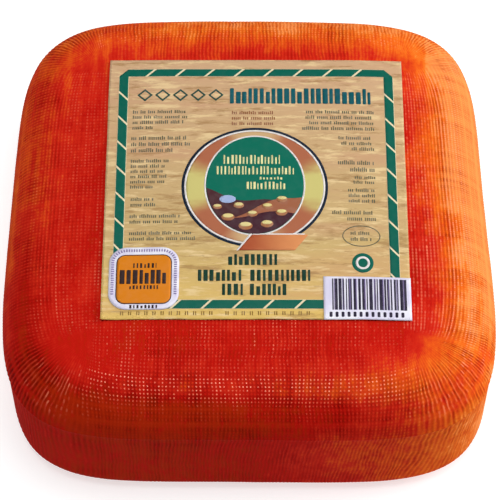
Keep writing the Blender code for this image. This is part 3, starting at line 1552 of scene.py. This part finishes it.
def strips(polygon: Polygon, axis: int, step: float) -> Iterator[Polygon]:
    """Cut a convex polygon into strips.

    Args:
        polygon: Its corners in order.
        axis: 0 for upright strips, 1 for level ones.
        step: Width of a strip.

    Yields:
        Each strip that isn't empty.
    """
    low = math.floor(min(point[axis] for point in polygon) / step)
    high = math.ceil(max(point[axis] for point in polygon) / step)
    for number in range(low, high):
        above = cut(polygon, lambda point: point[axis] - number * step)
        part = cut(above, lambda point: (number + 1) * step - point[axis])
        if len(part) > 2 and abs(area(part)) > 1e-4:
            yield part


def area(polygon: Polygon) -> float:
    """Area of a polygon, positive where its corners run counterclockwise."""
    turns = zip(polygon, polygon[1:] + polygon[:1])
    return sum(here[0] * there[1] - there[0] * here[1] for here, there in turns) / 2


def oval_outline(x: float, y: float, half_x: float, half_y: float, steps: int) -> Polygon:
    """An oval's corners, counterclockwise from its right."""
    turns = (math.tau * step / steps for step in range(steps))
    return [(x + half_x * math.cos(turn), y + half_y * math.sin(turn)) for turn in turns]


class Layer(Enum):
    """How high an ink lies over the paper, in millimetres, so that later inks cover earlier ones."""

    GROUND = 0.030
    FIELD = 0.052
    SHAPE = 0.074
    DETAIL = 0.096
    HILL = 0.118
    FURROW = 0.140
    SIGN = 0.162
    CAP = 0.184


@dataclass
class Ink:
    """All shapes of one ink on one paper, convex and in millimetres from the paper's middle."""

    finish: InkFinish | BandFinish | BannerFinish
    layer: Layer
    shapes: list[Polygon] = field(default_factory=list)
    cell: float = 1.0
    thickness: float = 0.018 * MM

    def bar(self, left: float, right: float, bottom: float, top: float, lean: float = 0.0) -> None:
        """Add an upright bar whose top leans this far to the right."""
        self.shapes.append([(left, bottom), (right, bottom), (right + lean, top), (left + lean, top)])

    def rounded(self, left: float, right: float, bottom: float, top: float, corner: float) -> None:
        """Add a bar with rounded corners.

        Args:
            left: Its left edge.
            right: Its right edge.
            bottom: Its foot.
            top: Its head.
            corner: Radius of the corners, cut down to what fits.
        """
        corner = min(corner, (right - left) / 2, (top - bottom) / 2)
        middles = (
            (right - corner, top - corner), (left + corner, top - corner),
            (left + corner, bottom + corner), (right - corner, bottom + corner),
        )
        self.shapes.append([
            (x + corner * math.cos(angle), y + corner * math.sin(angle))
            for quarter, (x, y) in enumerate(middles)
            for angle in (QUARTER_TURN * (quarter + step / 4) for step in range(5))
        ])

    def oval(self, x: float, y: float, half_x: float, half_y: float, steps: int = 72) -> None:
        """Add a filled oval."""
        self.shapes.append(oval_outline(x, y, half_x, half_y, steps))

    def line(self, outer: Polygon, inner: Polygon) -> None:
        """Add a closed line.

        Args:
            outer: Corners of its outer edge.
            inner: The same of its inner edge, as many.
        """
        for number, place in enumerate(outer):
            after = (number + 1) % len(outer)
            self.shapes.append([place, outer[after], inner[after], inner[number]])

    def ring(
        self, x: float, y: float, half_x: float, half_y: float, width: float, steps: int = 96
    ) -> None:
        """Add an oval line whose outer edge has these half sizes."""
        inner = oval_outline(x, y, half_x - width, half_y - width, steps)
        self.line(oval_outline(x, y, half_x, half_y, steps), inner)

    def print_on(self, paper: Paper, name: str) -> bpy.types.Object:
        """Drape the ink's shapes over a paper.

        Args:
            paper: What it is printed on.
            name: The piece's name.

        Returns:
            The ink, a thin closed layer.
        """
        bm = bmesh.new()
        for shape in self.shapes:
            for strip in strips(shape, 0, self.cell):
                for part in strips(strip, 1, self.cell):
                    ordered = part if area(part) > 0 else part[::-1]
                    bm.faces.new([bm.verts.new((x * MM, y * MM, 0.0)) for x, y in ordered])
        bmesh.ops.remove_doubles(bm, verts=bm.verts, dist=1e-6)
        bmesh.ops.dissolve_degenerate(bm, edges=bm.edges, dist=1e-6)
        for vert in bm.verts:
            vert.co.x += paper.print_middle[0]
            vert.co.y += paper.print_middle[1]
        places = np.array([vert.co[:2] for vert in bm.verts])
        heights = paper.top(places[:, 0], places[:, 1]) + self.layer.value * MM
        for vert, height in zip(bm.verts, heights):
            vert.co.z = height
        mesh = finished_mesh(bm, name)
        mesh.shade_smooth()
        mesh.materials.append(self.finish.material())
        piece = add_piece(name, mesh)
        solidify(piece, self.thickness)
        return piece


@dataclass(frozen=True)
class Pickets:
    """A row of plain upright bars, as wide and dark as a printed word but with nothing to read."""

    stroke: tuple[float, float]
    gap: tuple[float, float]
    corner: float = 0.3
    short_share: float = 0.25
    short_height: float = 0.78

    def draw(self, ink: Ink, left: float, right: float, bottom: float, top: float, seed: int) -> None:
        """Fill a row with bars.

        Args:
            ink: What it is printed with.
            left: Where the row starts.
            right: Where it ends.
            bottom: Foot of the bars.
            top: Head of the tall bars.
            seed: Picks the bars' widths.
        """
        draw = np.random.default_rng(seed)
        x = left
        while x < right - self.stroke[0] * 0.6:
            width = min(draw.uniform(*self.stroke), right - x)
            short = draw.random() < self.short_share
            head = bottom + (top - bottom) * (self.short_height if short else 1.0)
            if self.corner > 0:
                ink.rounded(x, x + width, bottom, head, self.corner)
            else:
                ink.bar(x, x + width, bottom, head)
            x += width + draw.uniform(*self.gap)


@dataclass(frozen=True)
class FinePrint:
    """Blocks of small grey words, each word a few short strokes."""

    stroke: float = 0.46
    pitch: float = 0.80
    word_gap: float = 0.80
    height_share: float = 0.62

    def draw(
        self, ink: Ink, left: float, right: float, top: float, bottom: float, rows: int,
        seed: int, last: float = 1.0, to_right: bool = False,
    ) -> None:
        """Fill a block with rows of words.

        Args:
            ink: What it is printed with.
            left: Left edge of the block.
            right: Right edge.
            top: Head of the first row.
            bottom: Foot of the last row.
            rows: How many rows it has.
            seed: Picks the words' lengths.
            last: Share of the width that the last row fills.
            to_right: Line the rows up on the right.
        """
        draw = np.random.default_rng(seed)
        spacing = (top - bottom) / (rows - 1 + self.height_share)
        for row in range(rows):
            foot = top - spacing * (row + self.height_share)
            width = (right - left) * (last if row == rows - 1 else draw.uniform(0.86, 1.0))
            start = right - width if to_right else left
            x = start
            while x < start + width - self.pitch:
                for _ in range(int(draw.integers(3, 10))):
                    if x > start + width - self.stroke:
                        break
                    tall = draw.random() < 0.3
                    head = foot + spacing * self.height_share * (1.0 if tall else 0.76)
                    ink.bar(x, x + self.stroke, foot, head)
                    x += self.pitch
                x += self.word_gap


@dataclass(frozen=True)
class Border:
    """The label's green frame, cut into pieces by slanted pale slashes."""

    half_x: float = 58.1
    top: float = 57.3
    bottom: float = -59.3
    width: float = 3.85
    chamfer: float = 3.6
    slash: float = 1.15
    slashes: int = 8
    halo: float = 0.15
    period: float = 12.53

    def side_pieces(
        self, origin: Point, along: Point, across: Point, length: float, first: float, lean: float
    ) -> Iterator[Polygon]:
        """Cut one side of the frame into its pieces.

        Args:
            origin: The outer corner where the side starts.
            along: Direction along the side.
            across: Direction to its inner edge.
            length: Length of the outer edge.
            first: Where the first slash crosses the side's middle, from the origin.
            lean: How much further along a slash meets the inner edge than the outer one.

        Yields:
            Each piece as a convex polygon.
        """
        half_slash, half_lean = self.slash / 2, lean / 2
        chamfer, width = self.chamfer, self.width
        start = [(width, width), (chamfer / 2, chamfer / 2), (chamfer, 0.0)]
        for number in range(self.slashes):
            place = first + self.period * number
            outer, inner = place - half_lean - half_slash, place + half_lean - half_slash
            yield self.placed(start + [(outer, 0.0), (inner, width)], origin, along, across)
            start = [(inner + self.slash, width), (outer + self.slash, 0.0)]
        end = [(length - chamfer, 0.0), (length - chamfer / 2, chamfer / 2), (length - width, width)]
        yield self.placed(start + end, origin, along, across)

    @staticmethod
    def placed(shape: Polygon, origin: Point, along: Point, across: Point) -> Polygon:
        """Move a shape from a side's own axes to the label's.

        Args:
            shape: Its corners, as places along and across the side.
            origin: Where the side starts.
            along: Direction along the side.
            across: Direction to its inner edge.

        Returns:
            The corners on the label.
        """
        return [
            (origin[0] + s * along[0] + t * across[0], origin[1] + s * along[1] + t * across[1])
            for s, t in shape
        ]

    def draw(self, green: Ink, pale: Ink) -> None:
        """Print the frame.

        Args:
            green: Ink of its pieces.
            pale: Ink of the slashes and of the thin edge beside the pieces.
        """
        left, top, bottom = -self.half_x, self.top, self.bottom
        wide, deep = 2 * self.half_x, top - bottom
        sides = (
            ((left, top), (1, 0), (0, -1), wide, 13.3, -3.8),
            ((left, top), (0, -1), (1, 0), deep, 13.9, 4.2),
            ((-left, top), (0, -1), (-1, 0), deep, 14.8, -4.2),
            ((left, bottom), (1, 0), (0, 1), wide, 13.0, 3.8),
        )
        for side in sides:
            green.shapes.extend(self.side_pieces(*side))
        halo, width = self.halo, self.width
        inset = self.chamfer + 0.2
        pale.bar(left + inset, -left - inset, top - width - halo, top + halo)
        pale.bar(left + inset, -left - inset, bottom - halo, bottom + width + halo)
        pale.bar(left - halo, left + width + halo, bottom + inset, top - inset)
        pale.bar(-left - width - halo, -left + halo, bottom + inset, top - inset)


@dataclass(frozen=True)
class Hill:
    """A rolling field in the badge, up to its leaning and bowed crest."""

    ink: str
    crest: float
    lean: float
    bow: float
    bow_length: float = 4.6

    def head(self, across: float, foot: float) -> float:
        """Height of the crest this far from the badge's middle, and never under the foot."""
        return max(foot, self.crest + self.lean * across + self.bow * math.sin(across / self.bow_length))


@dataclass(frozen=True)
class Medallion:
    """The oval badge in the label's middle: a lined band round a green field with a small landscape."""

    WORD_ROWS = (
        (-13.0, 10.4, 8.5, 12.9),
        (-15.8, 16.2, 3.4, 7.4),
        (2.0, 12.0, 0.9, 2.2),
        (-3.4, 13.6, -3.8, -0.2),
    )
    HILLS = (
        Hill("plum", -9.0, -0.22, 1.6),
        Hill("rust", -13.0, 0.34, 1.5),
        Hill("maroon", -16.0, 0.06, 1.1),
    )
    BALES = (
        (-15.4, -12.2, 1.9), (-6.6, -11.6, 2.2), (-1.0, -15.6, 2.2),
        (5.2, -12.0, 2.2), (11.2, -8.6, 2.3), (-11.0, -17.2, 2.7),
        (-3.8, -21.4, 2.9), (5.0, -20.4, 2.6), (11.0, -15.0, 2.4),
    )

    x: float = -0.6
    y: float = -2.4
    half_x: float = 30.3
    half_y: float = 28.9
    line: float = 1.15
    white_line: float = 0.75
    field_y: float = -1.7
    field_half_x: float = 20.9
    field_half_y: float = 24.3
    field_rim: float = 0.65
    field_foot: float = -26.0
    hill_columns: int = 20
    column: float = 2.0
    tangents: int = 60

    def inside(self, shape: Polygon, margin: float = 0.2) -> Polygon:
        """Trim a convex shape to the field's oval, by cutting it with the oval's tangents.

        Args:
            shape: Its corners in order.
            margin: How far inside the field's rim it stays.

        Returns:
            The part inside, empty if there is none.
        """
        half_x = self.field_half_x - self.field_rim - margin
        half_y = self.field_half_y - self.field_rim - margin
        kept = shape
        for step in range(self.tangents):
            turn = math.tau * step / self.tangents
            slope_x, slope_y = math.cos(turn) / half_x, math.sin(turn) / half_y
            kept = cut(
                kept,
                lambda place: 1 - (place[0] - self.x) * slope_x - (place[1] - self.field_y) * slope_y,
            )
            if len(kept) < 3:
                return []
        return kept

    def draw(self, inks: dict[str, Ink]) -> None:
        """Print the badge.

        Args:
            inks: The label's inks by name.
        """
        x, y = self.x, self.y
        inks["navy"].ring(x, y, self.half_x, self.half_y, self.line)
        inks["white"].ring(x, y, self.half_x - self.line, self.half_y - self.line, self.white_line)
        edge = self.line + self.white_line
        inks["band"].oval(x, y, self.half_x - edge, self.half_y - edge)
        inks["field"].oval(x, self.field_y, self.field_half_x - 0.3, self.field_half_y - 0.3)
        inks["white"].ring(x, self.field_y, self.field_half_x, self.field_half_y, self.field_rim)
        bars = Pickets(stroke=(0.5, 0.95), gap=(0.6, 0.95), corner=0.0, short_share=0.5)
        for seed, (left, right, bottom, top) in enumerate(self.WORD_ROWS, 61):
            bars.draw(inks["cream"], x + left, x + right, bottom, top, seed)
        self.draw_landscape(inks)

    def draw_landscape(self, inks: dict[str, Ink]) -> None:
        """Print rolling fields, a pond and round bales under the words.

        Args:
            inks: The label's inks by name.
        """
        foot, x = self.field_foot, self.x
        for hill in self.HILLS:
            for number in range(self.hill_columns):
                left = self.column * (number - self.hill_columns / 2)
                right = left + self.column
                shape = self.inside([
                    (x + left, foot), (x + right, foot),
                    (x + right, hill.head(right, foot)), (x + left, hill.head(left, foot)),
                ])
                if shape:
                    inks[hill.ink].shapes.append(shape)
        inks["pond"].oval(x - 11.2, -8.6, 3.4, 1.9, 24)
        for place_x, place_y, size in self.BALES:
            inks["straw"].oval(x + place_x, place_y, size, size * 0.66, 20)
            inks["caps"].oval(x + place_x, place_y + 0.26 * size, size * 0.82, size * 0.36, 18)


@dataclass
class LabelPrint:
    """Everything printed on the big label, with plain bars and rings in place of words and signs."""

    LOWER_ROWS = (
        (-11.4, 9.7, -39.6, -34.6),
        (-23.6, -4.8, -46.9, -41.8),
        (-2.4, 21.8, -46.9, -41.8),
        (-13.8, -5.4, -53.3, -48.2),
        (-2.6, 12.1, -53.3, -48.2),
    )
    FINE_BLOCKS = (
        (-51.9, -27.0, 35.7, 26.1, 4, 0.36), (-52.2, -26.8, 22.6, 14.6, 3, 0.7),
        (-52.1, -36.1, 11.1, -3.1, 6, 0.6), (-51.7, -40.9, -7.4, -11.8, 2, 1.0),
        (-51.9, -30.0, -15.6, -19.9, 2, 0.9), (-51.9, -21.7, -23.8, -28.0, 2, 0.95),
        (19.4, 49.5, 35.7, 25.6, 4, 1.0), (33.5, 49.5, 22.6, 15.6, 3, 0.6),
        (32.1, 49.5, 10.6, 5.2, 2, 0.6), (40.3, 49.5, 3.2, -0.7, 2, 1.0),
        (36.8, 49.5, -3.0, -9.8, 3, 0.9), (29.2, 49.5, -13.7, -18.5, 2, 0.6),
    )

    paper: LabelSheet
    border: Border = Border()
    medallion: Medallion = Medallion()
    fine: FinePrint = FinePrint()

    def inks(self) -> dict[str, Ink]:
        """Mix the label's inks.

        Returns:
            The inks by name.
        """
        middle = (
            self.paper.print_middle[0] + self.medallion.x * MM,
            self.paper.print_middle[1] + self.medallion.y * MM,
        )
        return {
            "pale": Ink(InkFinish("cream_edging", (0.70, 0.60, 0.38, 1.0)), Layer.GROUND),
            "green": Ink(InkFinish("frame_green", (0.0, 0.098, 0.066, 1.0), 0.01), Layer.FIELD),
            "teal": Ink(InkFinish("heading_teal", (0.002, 0.080, 0.098, 1.0), 0.03), Layer.FIELD),
            "thin": Ink(InkFinish("thin_green", (0.012, 0.060, 0.045, 1.0), 0.05), Layer.FIELD),
            "fine": Ink(InkFinish("fine_grey", (0.10, 0.10, 0.055, 1.0), 0.12), Layer.FIELD),
            "brown": Ink(InkFinish("fine_brown", (0.25, 0.085, 0.03, 1.0), 0.12), Layer.FIELD),
            "olive": Ink(InkFinish("edge_olive", (0.23, 0.125, 0.012, 1.0), 0.10), Layer.FIELD),
            "deep": Ink(InkFinish("deep_green", (0.004, 0.035, 0.020, 1.0), 0.02), Layer.FIELD),
            "navy": Ink(InkFinish("badge_navy", (0.004, 0.012, 0.028, 1.0), 0.02), Layer.FIELD),
            "band": Ink(BandFinish("badge_band", middle), Layer.FIELD),
            "field": Ink(InkFinish("badge_green", (0.0, 0.125, 0.080, 1.0), 0.01), Layer.SHAPE),
            "white": Ink(InkFinish("badge_white", (0.70, 0.66, 0.64, 1.0), 0.05), Layer.DETAIL),
            "cream": Ink(InkFinish("badge_cream", (0.68, 0.63, 0.30, 1.0), 0.05), Layer.DETAIL),
            "plum": Ink(InkFinish("far_hill", (0.060, 0.018, 0.022, 1.0), 0.03), Layer.DETAIL),
            "rust": Ink(InkFinish("stubble_field", (0.30, 0.105, 0.052, 1.0), 0.05), Layer.HILL),
            "maroon": Ink(InkFinish("ploughed_field", (0.050, 0.013, 0.022, 1.0), 0.03), Layer.FURROW),
            "pond": Ink(InkFinish("pond_blue", (0.30, 0.38, 0.60, 1.0), 0.10), Layer.SIGN),
            "straw": Ink(InkFinish("bale_sides", (0.33, 0.13, 0.05, 1.0), 0.10), Layer.SIGN),
            "caps": Ink(InkFinish("bale_tops", (0.66, 0.55, 0.22, 1.0), 0.10), Layer.CAP),
        }

    def draw_headings(self, inks: dict[str, Ink]) -> None:
        """Print a row of open diamonds, the bold heading and the lower heading's three rows.

        Args:
            inks: The label's inks by name.
        """
        for number in range(5):
            x = -47.0 + 7.5 * number
            outer, inner = (
                [(x + half_x, 43.5), (x, 43.5 + half_y), (x - half_x, 43.5), (x, 43.5 - half_y)]
                for half_x, half_y in ((3.3, 3.2), (2.2, 2.1))
            )
            inks["thin"].line(outer, inner)
        bold = Pickets(stroke=(1.5, 2.4), gap=(0.5, 0.9), corner=0.45)
        bold.draw(inks["teal"], -11.1, 48.4, 38.9, 47.0, seed=71)
        lower = Pickets(stroke=(1.1, 1.8), gap=(0.65, 1.05), corner=0.25, short_share=0.15)
        for seed, row in enumerate(self.LOWER_ROWS, 72):
            lower.draw(inks["deep"], *row, seed)

    def draw_fine_print(self, inks: dict[str, Ink]) -> None:
        """Print the blocks of small words down both sides, and the small marks along the front.

        Args:
            inks: The label's inks by name.
        """
        for seed, (left, right, top, bottom, rows, last) in enumerate(self.FINE_BLOCKS, 80):
            self.fine.draw(inks["fine"], left, right, top, bottom, rows, seed, last, to_right=left > 0)
        self.fine.draw(inks["brown"], -10.2, 8.3, 35.2, 27.9, 3, seed=95)
        for number in range(24):
            if number != 12:
                left = -54.6 + 3.25 * number
                inks["olive"].bar(left, left + 0.45, -62.2, -60.5)
                inks["olive"].bar(left + 0.85, left + 1.3, -62.2, -60.5)

    def draw_marks(self, inks: dict[str, Ink]) -> None:
        """Print the thin oval, the ringed disc and the plain banner.

        Args:
            inks: The label's inks by name, to which the banner's is added.
        """
        inks["fine"].ring(42.9, -25.8, 7.8, 5.0, 0.4, 48)
        self.fine.draw(inks["fine"], 38.5, 47.5, -23.5, -28.1, 2, seed=97)
        inks["green"].oval(43.2, -38.4, 4.4, 4.5, 40)
        inks["white"].ring(43.2, -38.4, 2.9, 3.0, 0.95, 40)
        middle_x = self.paper.print_middle[0]
        inks["banner"] = Ink(BannerFinish(middle_x - 7 * MM, middle_x + 19 * MM), Layer.SIGN)
        inks["banner"].shapes.append([(-7.4, -32.9), (15.6, -32.9), (21.2, -25.6), (-1.7, -25.6)])
        inks["white"].bar(-1.7, 19.5, -25.7, -25.0, 0.4)
        inks["white"].shapes.append([(-8.2, -32.9), (-7.2, -32.9), (-1.5, -25.0), (-2.5, -25.0)])

    def build(self) -> list[bpy.types.Object]:
        """Print the label.

        Returns:
            One piece for each ink.
        """
        inks = self.inks()
        self.border.draw(inks["green"], inks["pale"])
        self.medallion.draw(inks)
        self.draw_headings(inks)
        self.draw_fine_print(inks)
        self.draw_marks(inks)
        return [ink.print_on(self.paper, f"label_ink_{name}") for name, ink in inks.items()]


@dataclass
class SquareStickerPrint:
    """The square sticker's orange field in its pale rim, with plain bars across it."""

    paper: Sticker
    field_half: float = 11.3
    field_y: float = -0.5
    field_corner: float = 3.6
    outline: float = 0.4
    rim_half: float = 12.75
    rim_corner: float = 5.6
    ticks: int = 15
    corner_ticks: int = 7

    def build(self) -> list[bpy.types.Object]:
        """Print the sticker.

        Returns:
            One piece for each ink.
        """
        inks = {
            "dark": Ink(InkFinish("sticker_dark", (0.035, 0.020, 0.020, 1.0), 0.05), Layer.GROUND),
            "orange": Ink(InkFinish("sticker_orange", (0.61, 0.185, 0.004, 1.0), 0.02), Layer.FIELD),
            "words": Ink(InkFinish("sticker_brown", (0.03, 0.015, 0.014, 1.0), 0.02), Layer.SHAPE),
            "lilac": Ink(InkFinish("sticker_lilac", (0.22, 0.17, 0.36, 1.0), 0.05), Layer.GROUND),
        }
        half, y = self.field_half, self.field_y
        inks["dark"].rounded(-half, half, y - half, y + half, self.field_corner)
        inset = half - self.outline
        inks["orange"].rounded(-inset, inset, y - inset, y + inset, self.field_corner - 0.3)
        bold = Pickets(stroke=(1.2, 2.1), gap=(0.45, 0.8), corner=0.3)
        bold.draw(inks["words"], -9.8, 9.9, -2.7, 3.7, seed=101)
        fine = Pickets(stroke=(0.5, 0.9), gap=(0.6, 0.9), corner=0.0)
        fine.draw(inks["words"], -4.4, 5.0, 4.6, 6.8, seed=102)
        fine.draw(inks["words"], -5.7, 6.0, -5.1, -3.4, seed=103)
        fine.draw(inks["words"], -5.5, 6.2, -13.7, -12.2, seed=104)
        self.draw_rim(inks["lilac"])
        return [ink.print_on(self.paper, f"square_sticker_ink_{name}") for name, ink in inks.items()]

    def draw_rim(self, ink: Ink) -> None:
        """Print small marks along the rim's left, top and right, and round its upper corners.

        Args:
            ink: What they are printed with.
        """
        straight = self.rim_half - self.rim_corner
        for side in range(3):
            turn = QUARTER_TURN * (2 - side)
            outward = math.cos(turn), math.sin(turn)
            for number in range(self.ticks):
                along = straight * (2 * number / (self.ticks - 1) - 1)
                start = along * outward[1], -along * outward[0]
                self.tick(ink, start, outward, self.rim_half)
        for side in (-1, 1):
            for number in range(1, self.corner_ticks + 1):
                turn = QUARTER_TURN * number / (self.corner_ticks + 1)
                outward = side * math.cos(turn), math.sin(turn)
                self.tick(ink, (side * straight, straight), outward, self.rim_corner)

    @staticmethod
    def tick(ink: Ink, start: Point, outward: Point, reach: float) -> None:
        """Add one mark that lies across the rim.

        Args:
            ink: What it is printed with.
            start: A place inside the rim.
            outward: Direction from there to the mark.
            reach: Distance from there to the mark.
        """
        x, y = start[0] + reach * outward[0], start[1] + reach * outward[1]
        ink.shapes.append([
            (x + out * outward[0] - side * outward[1], y + out * outward[1] + side * outward[0])
            for out, side in ((-0.6, -0.27), (0.6, -0.27), (0.6, 0.27), (-0.6, 0.27))
        ])


@dataclass
class StripedStickerPrint:
    """The striped sticker's upright dark bars over a row of small marks."""

    paper: Sticker
    left: float = -14.2
    right: float = 16.1
    foot: float = -5.3
    head: float = 8.7
    marks: int = 13
    first_mark: float = -15.4
    mark_pitch: float = 2.4

    def build(self) -> list[bpy.types.Object]:
        """Print the sticker.

        Returns:
            One piece for each ink.
        """
        inks = {
            "dark": Ink(InkFinish("stripe_violet_black", (0.020, 0.014, 0.035, 1.0), 0.04), Layer.GROUND),
            "grey": Ink(InkFinish("stripe_violet_grey", (0.16, 0.12, 0.26, 1.0), 0.04), Layer.FIELD),
        }
        stripes = Pickets(stroke=(0.35, 1.5), gap=(0.3, 0.85), corner=0.0, short_share=0.0)
        stripes.draw(inks["dark"], self.left, self.right, self.foot, self.head, seed=111)
        thin = Pickets(stroke=(0.25, 0.5), gap=(1.6, 3.4), corner=0.0, short_share=0.0)
        thin.draw(inks["grey"], self.left + 0.8, self.right, self.foot, self.head, seed=112)
        for number in range(self.marks):
            x = self.first_mark + self.mark_pitch * number
            inks["dark"].rounded(x, x + 1.2, -8.5, -6.2, 0.4)
        return [ink.print_on(self.paper, f"striped_sticker_ink_{name}") for name, ink in inks.items()]


# Studio


def aim(piece: bpy.types.Object, place: tuple[float, float, float], target: Vector) -> None:
    """Put a light or camera in the scene.

    Args:
        piece: The light or camera.
        place: Where it goes.
        target: What it points at.
    """
    piece.location = place
    piece.rotation_euler = (target - Vector(place)).to_track_quat("-Z", "Y").to_euler()
    bpy.context.scene.collection.objects.link(piece)


@dataclass
class SoftBox:
    """A rectangular studio light that the camera doesn't see."""

    place: tuple[float, float, float]
    size: tuple[float, float]
    power: float

    def build(self, name: str, target: Vector) -> None:
        """Hang the light.

        Args:
            name: Its name.
            target: What it points at.
        """
        data = bpy.data.lights.new(name, "AREA")
        data.shape = "RECTANGLE"
        data.size, data.size_y = self.size
        data.energy = self.power
        light = bpy.data.objects.new(name, data)
        light.visible_camera = False
        aim(light, self.place, target)


@dataclass
class Studio:
    """Pale floor, soft lights and the camera."""

    floor_half: float = 4.0
    world: float = 0.12
    camera_place: tuple[float, float, float] = (0.66 * MM, -490.0 * MM, 874.0 * MM)
    camera_target: tuple[float, float, float] = (0.44 * MM, -5.5 * MM, 36.0 * MM)
    lens: float = 164.3
    lights: dict[str, SoftBox] = field(default_factory=lambda: {
        "overhead": SoftBox((0.0, -0.06, 1.25), (0.65, 0.6), 10.5),
        "right_back": SoftBox((1.1, 0.25, 0.62), (0.8, 0.8), 14.0),
        "left": SoftBox((-1.1, 0.40, 0.45), (0.8, 0.8), 1.8),
    })

    def build(self) -> None:
        """Lay the floor, hang the lights and set the camera."""
        self.lay_floor()
        target = Vector(self.camera_target)
        for name, light in self.lights.items():
            light.build(name, target)
        self.light_world()
        bpy.context.scene.view_settings.view_transform = "Standard"
        data = bpy.data.cameras.new("camera")
        data.lens = self.lens
        data.clip_start = 0.01
        camera = bpy.data.objects.new("camera", data)
        aim(camera, self.camera_place, target)
        bpy.context.scene.camera = camera

    def lay_floor(self) -> None:
        """Lay a plain floor that shines leave out."""
        bm = bmesh.new()
        bmesh.ops.create_grid(bm, x_segments=8, y_segments=8, size=self.floor_half)
        mesh = finished_mesh(bm, "floor")
        mesh.materials.append(FloorFinish().material())
        floor = bpy.data.objects.new("floor", mesh)
        bpy.context.scene.collection.objects.link(floor)
        floor.visible_glossy = False

    def light_world(self) -> None:
        """Fill the shadows with a faint white light from all round."""
        world = bpy.data.worlds.new("studio")
        world.use_nodes = True
        background = world.node_tree.nodes["Background"]
        background.inputs["Color"].default_value = (1.0, 1.0, 1.0, 1.0)
        background.inputs["Strength"].default_value = self.world
        bpy.context.scene.world = world


def main() -> None:
    """Build every piece in order and report each one."""
    logging.basicConfig(level=logging.INFO, format="%(message)s")
    LOG.info("frame: %s", ", ".join(sorted(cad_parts)))
    Studio().build()
    form = BlockForm()
    label = LabelSheet(
        "label", "label_paper", LabelFinish(), 0.25 * MM, 0.12 * MM,
        off_centre=(0.2 * MM, 0.9 * MM), form=form,
    )
    square = Sticker(
        "square_sticker", "square_sticker_paper", StickerFinish("square_sticker_paper"),
        0.18 * MM, 0.15 * MM, corner=7.3 * MM, label=label,
    )
    striped = Sticker(
        "striped_sticker", "striped_sticker_paper", StickerFinish("striped_sticker_paper"),
        0.18 * MM, 0.15 * MM, label=label,
    )
    pieces = [Rind(form).build(), label.build(), square.build(), striped.build()]
    pieces += LabelPrint(label).build()
    pieces += SquareStickerPrint(square).build()
    pieces += StripedStickerPrint(striped).build()
    for piece in pieces:
        LOG.info("%s: %d faces", piece.name, len(piece.data.polygons))


if __name__ == "__main__":
    main()
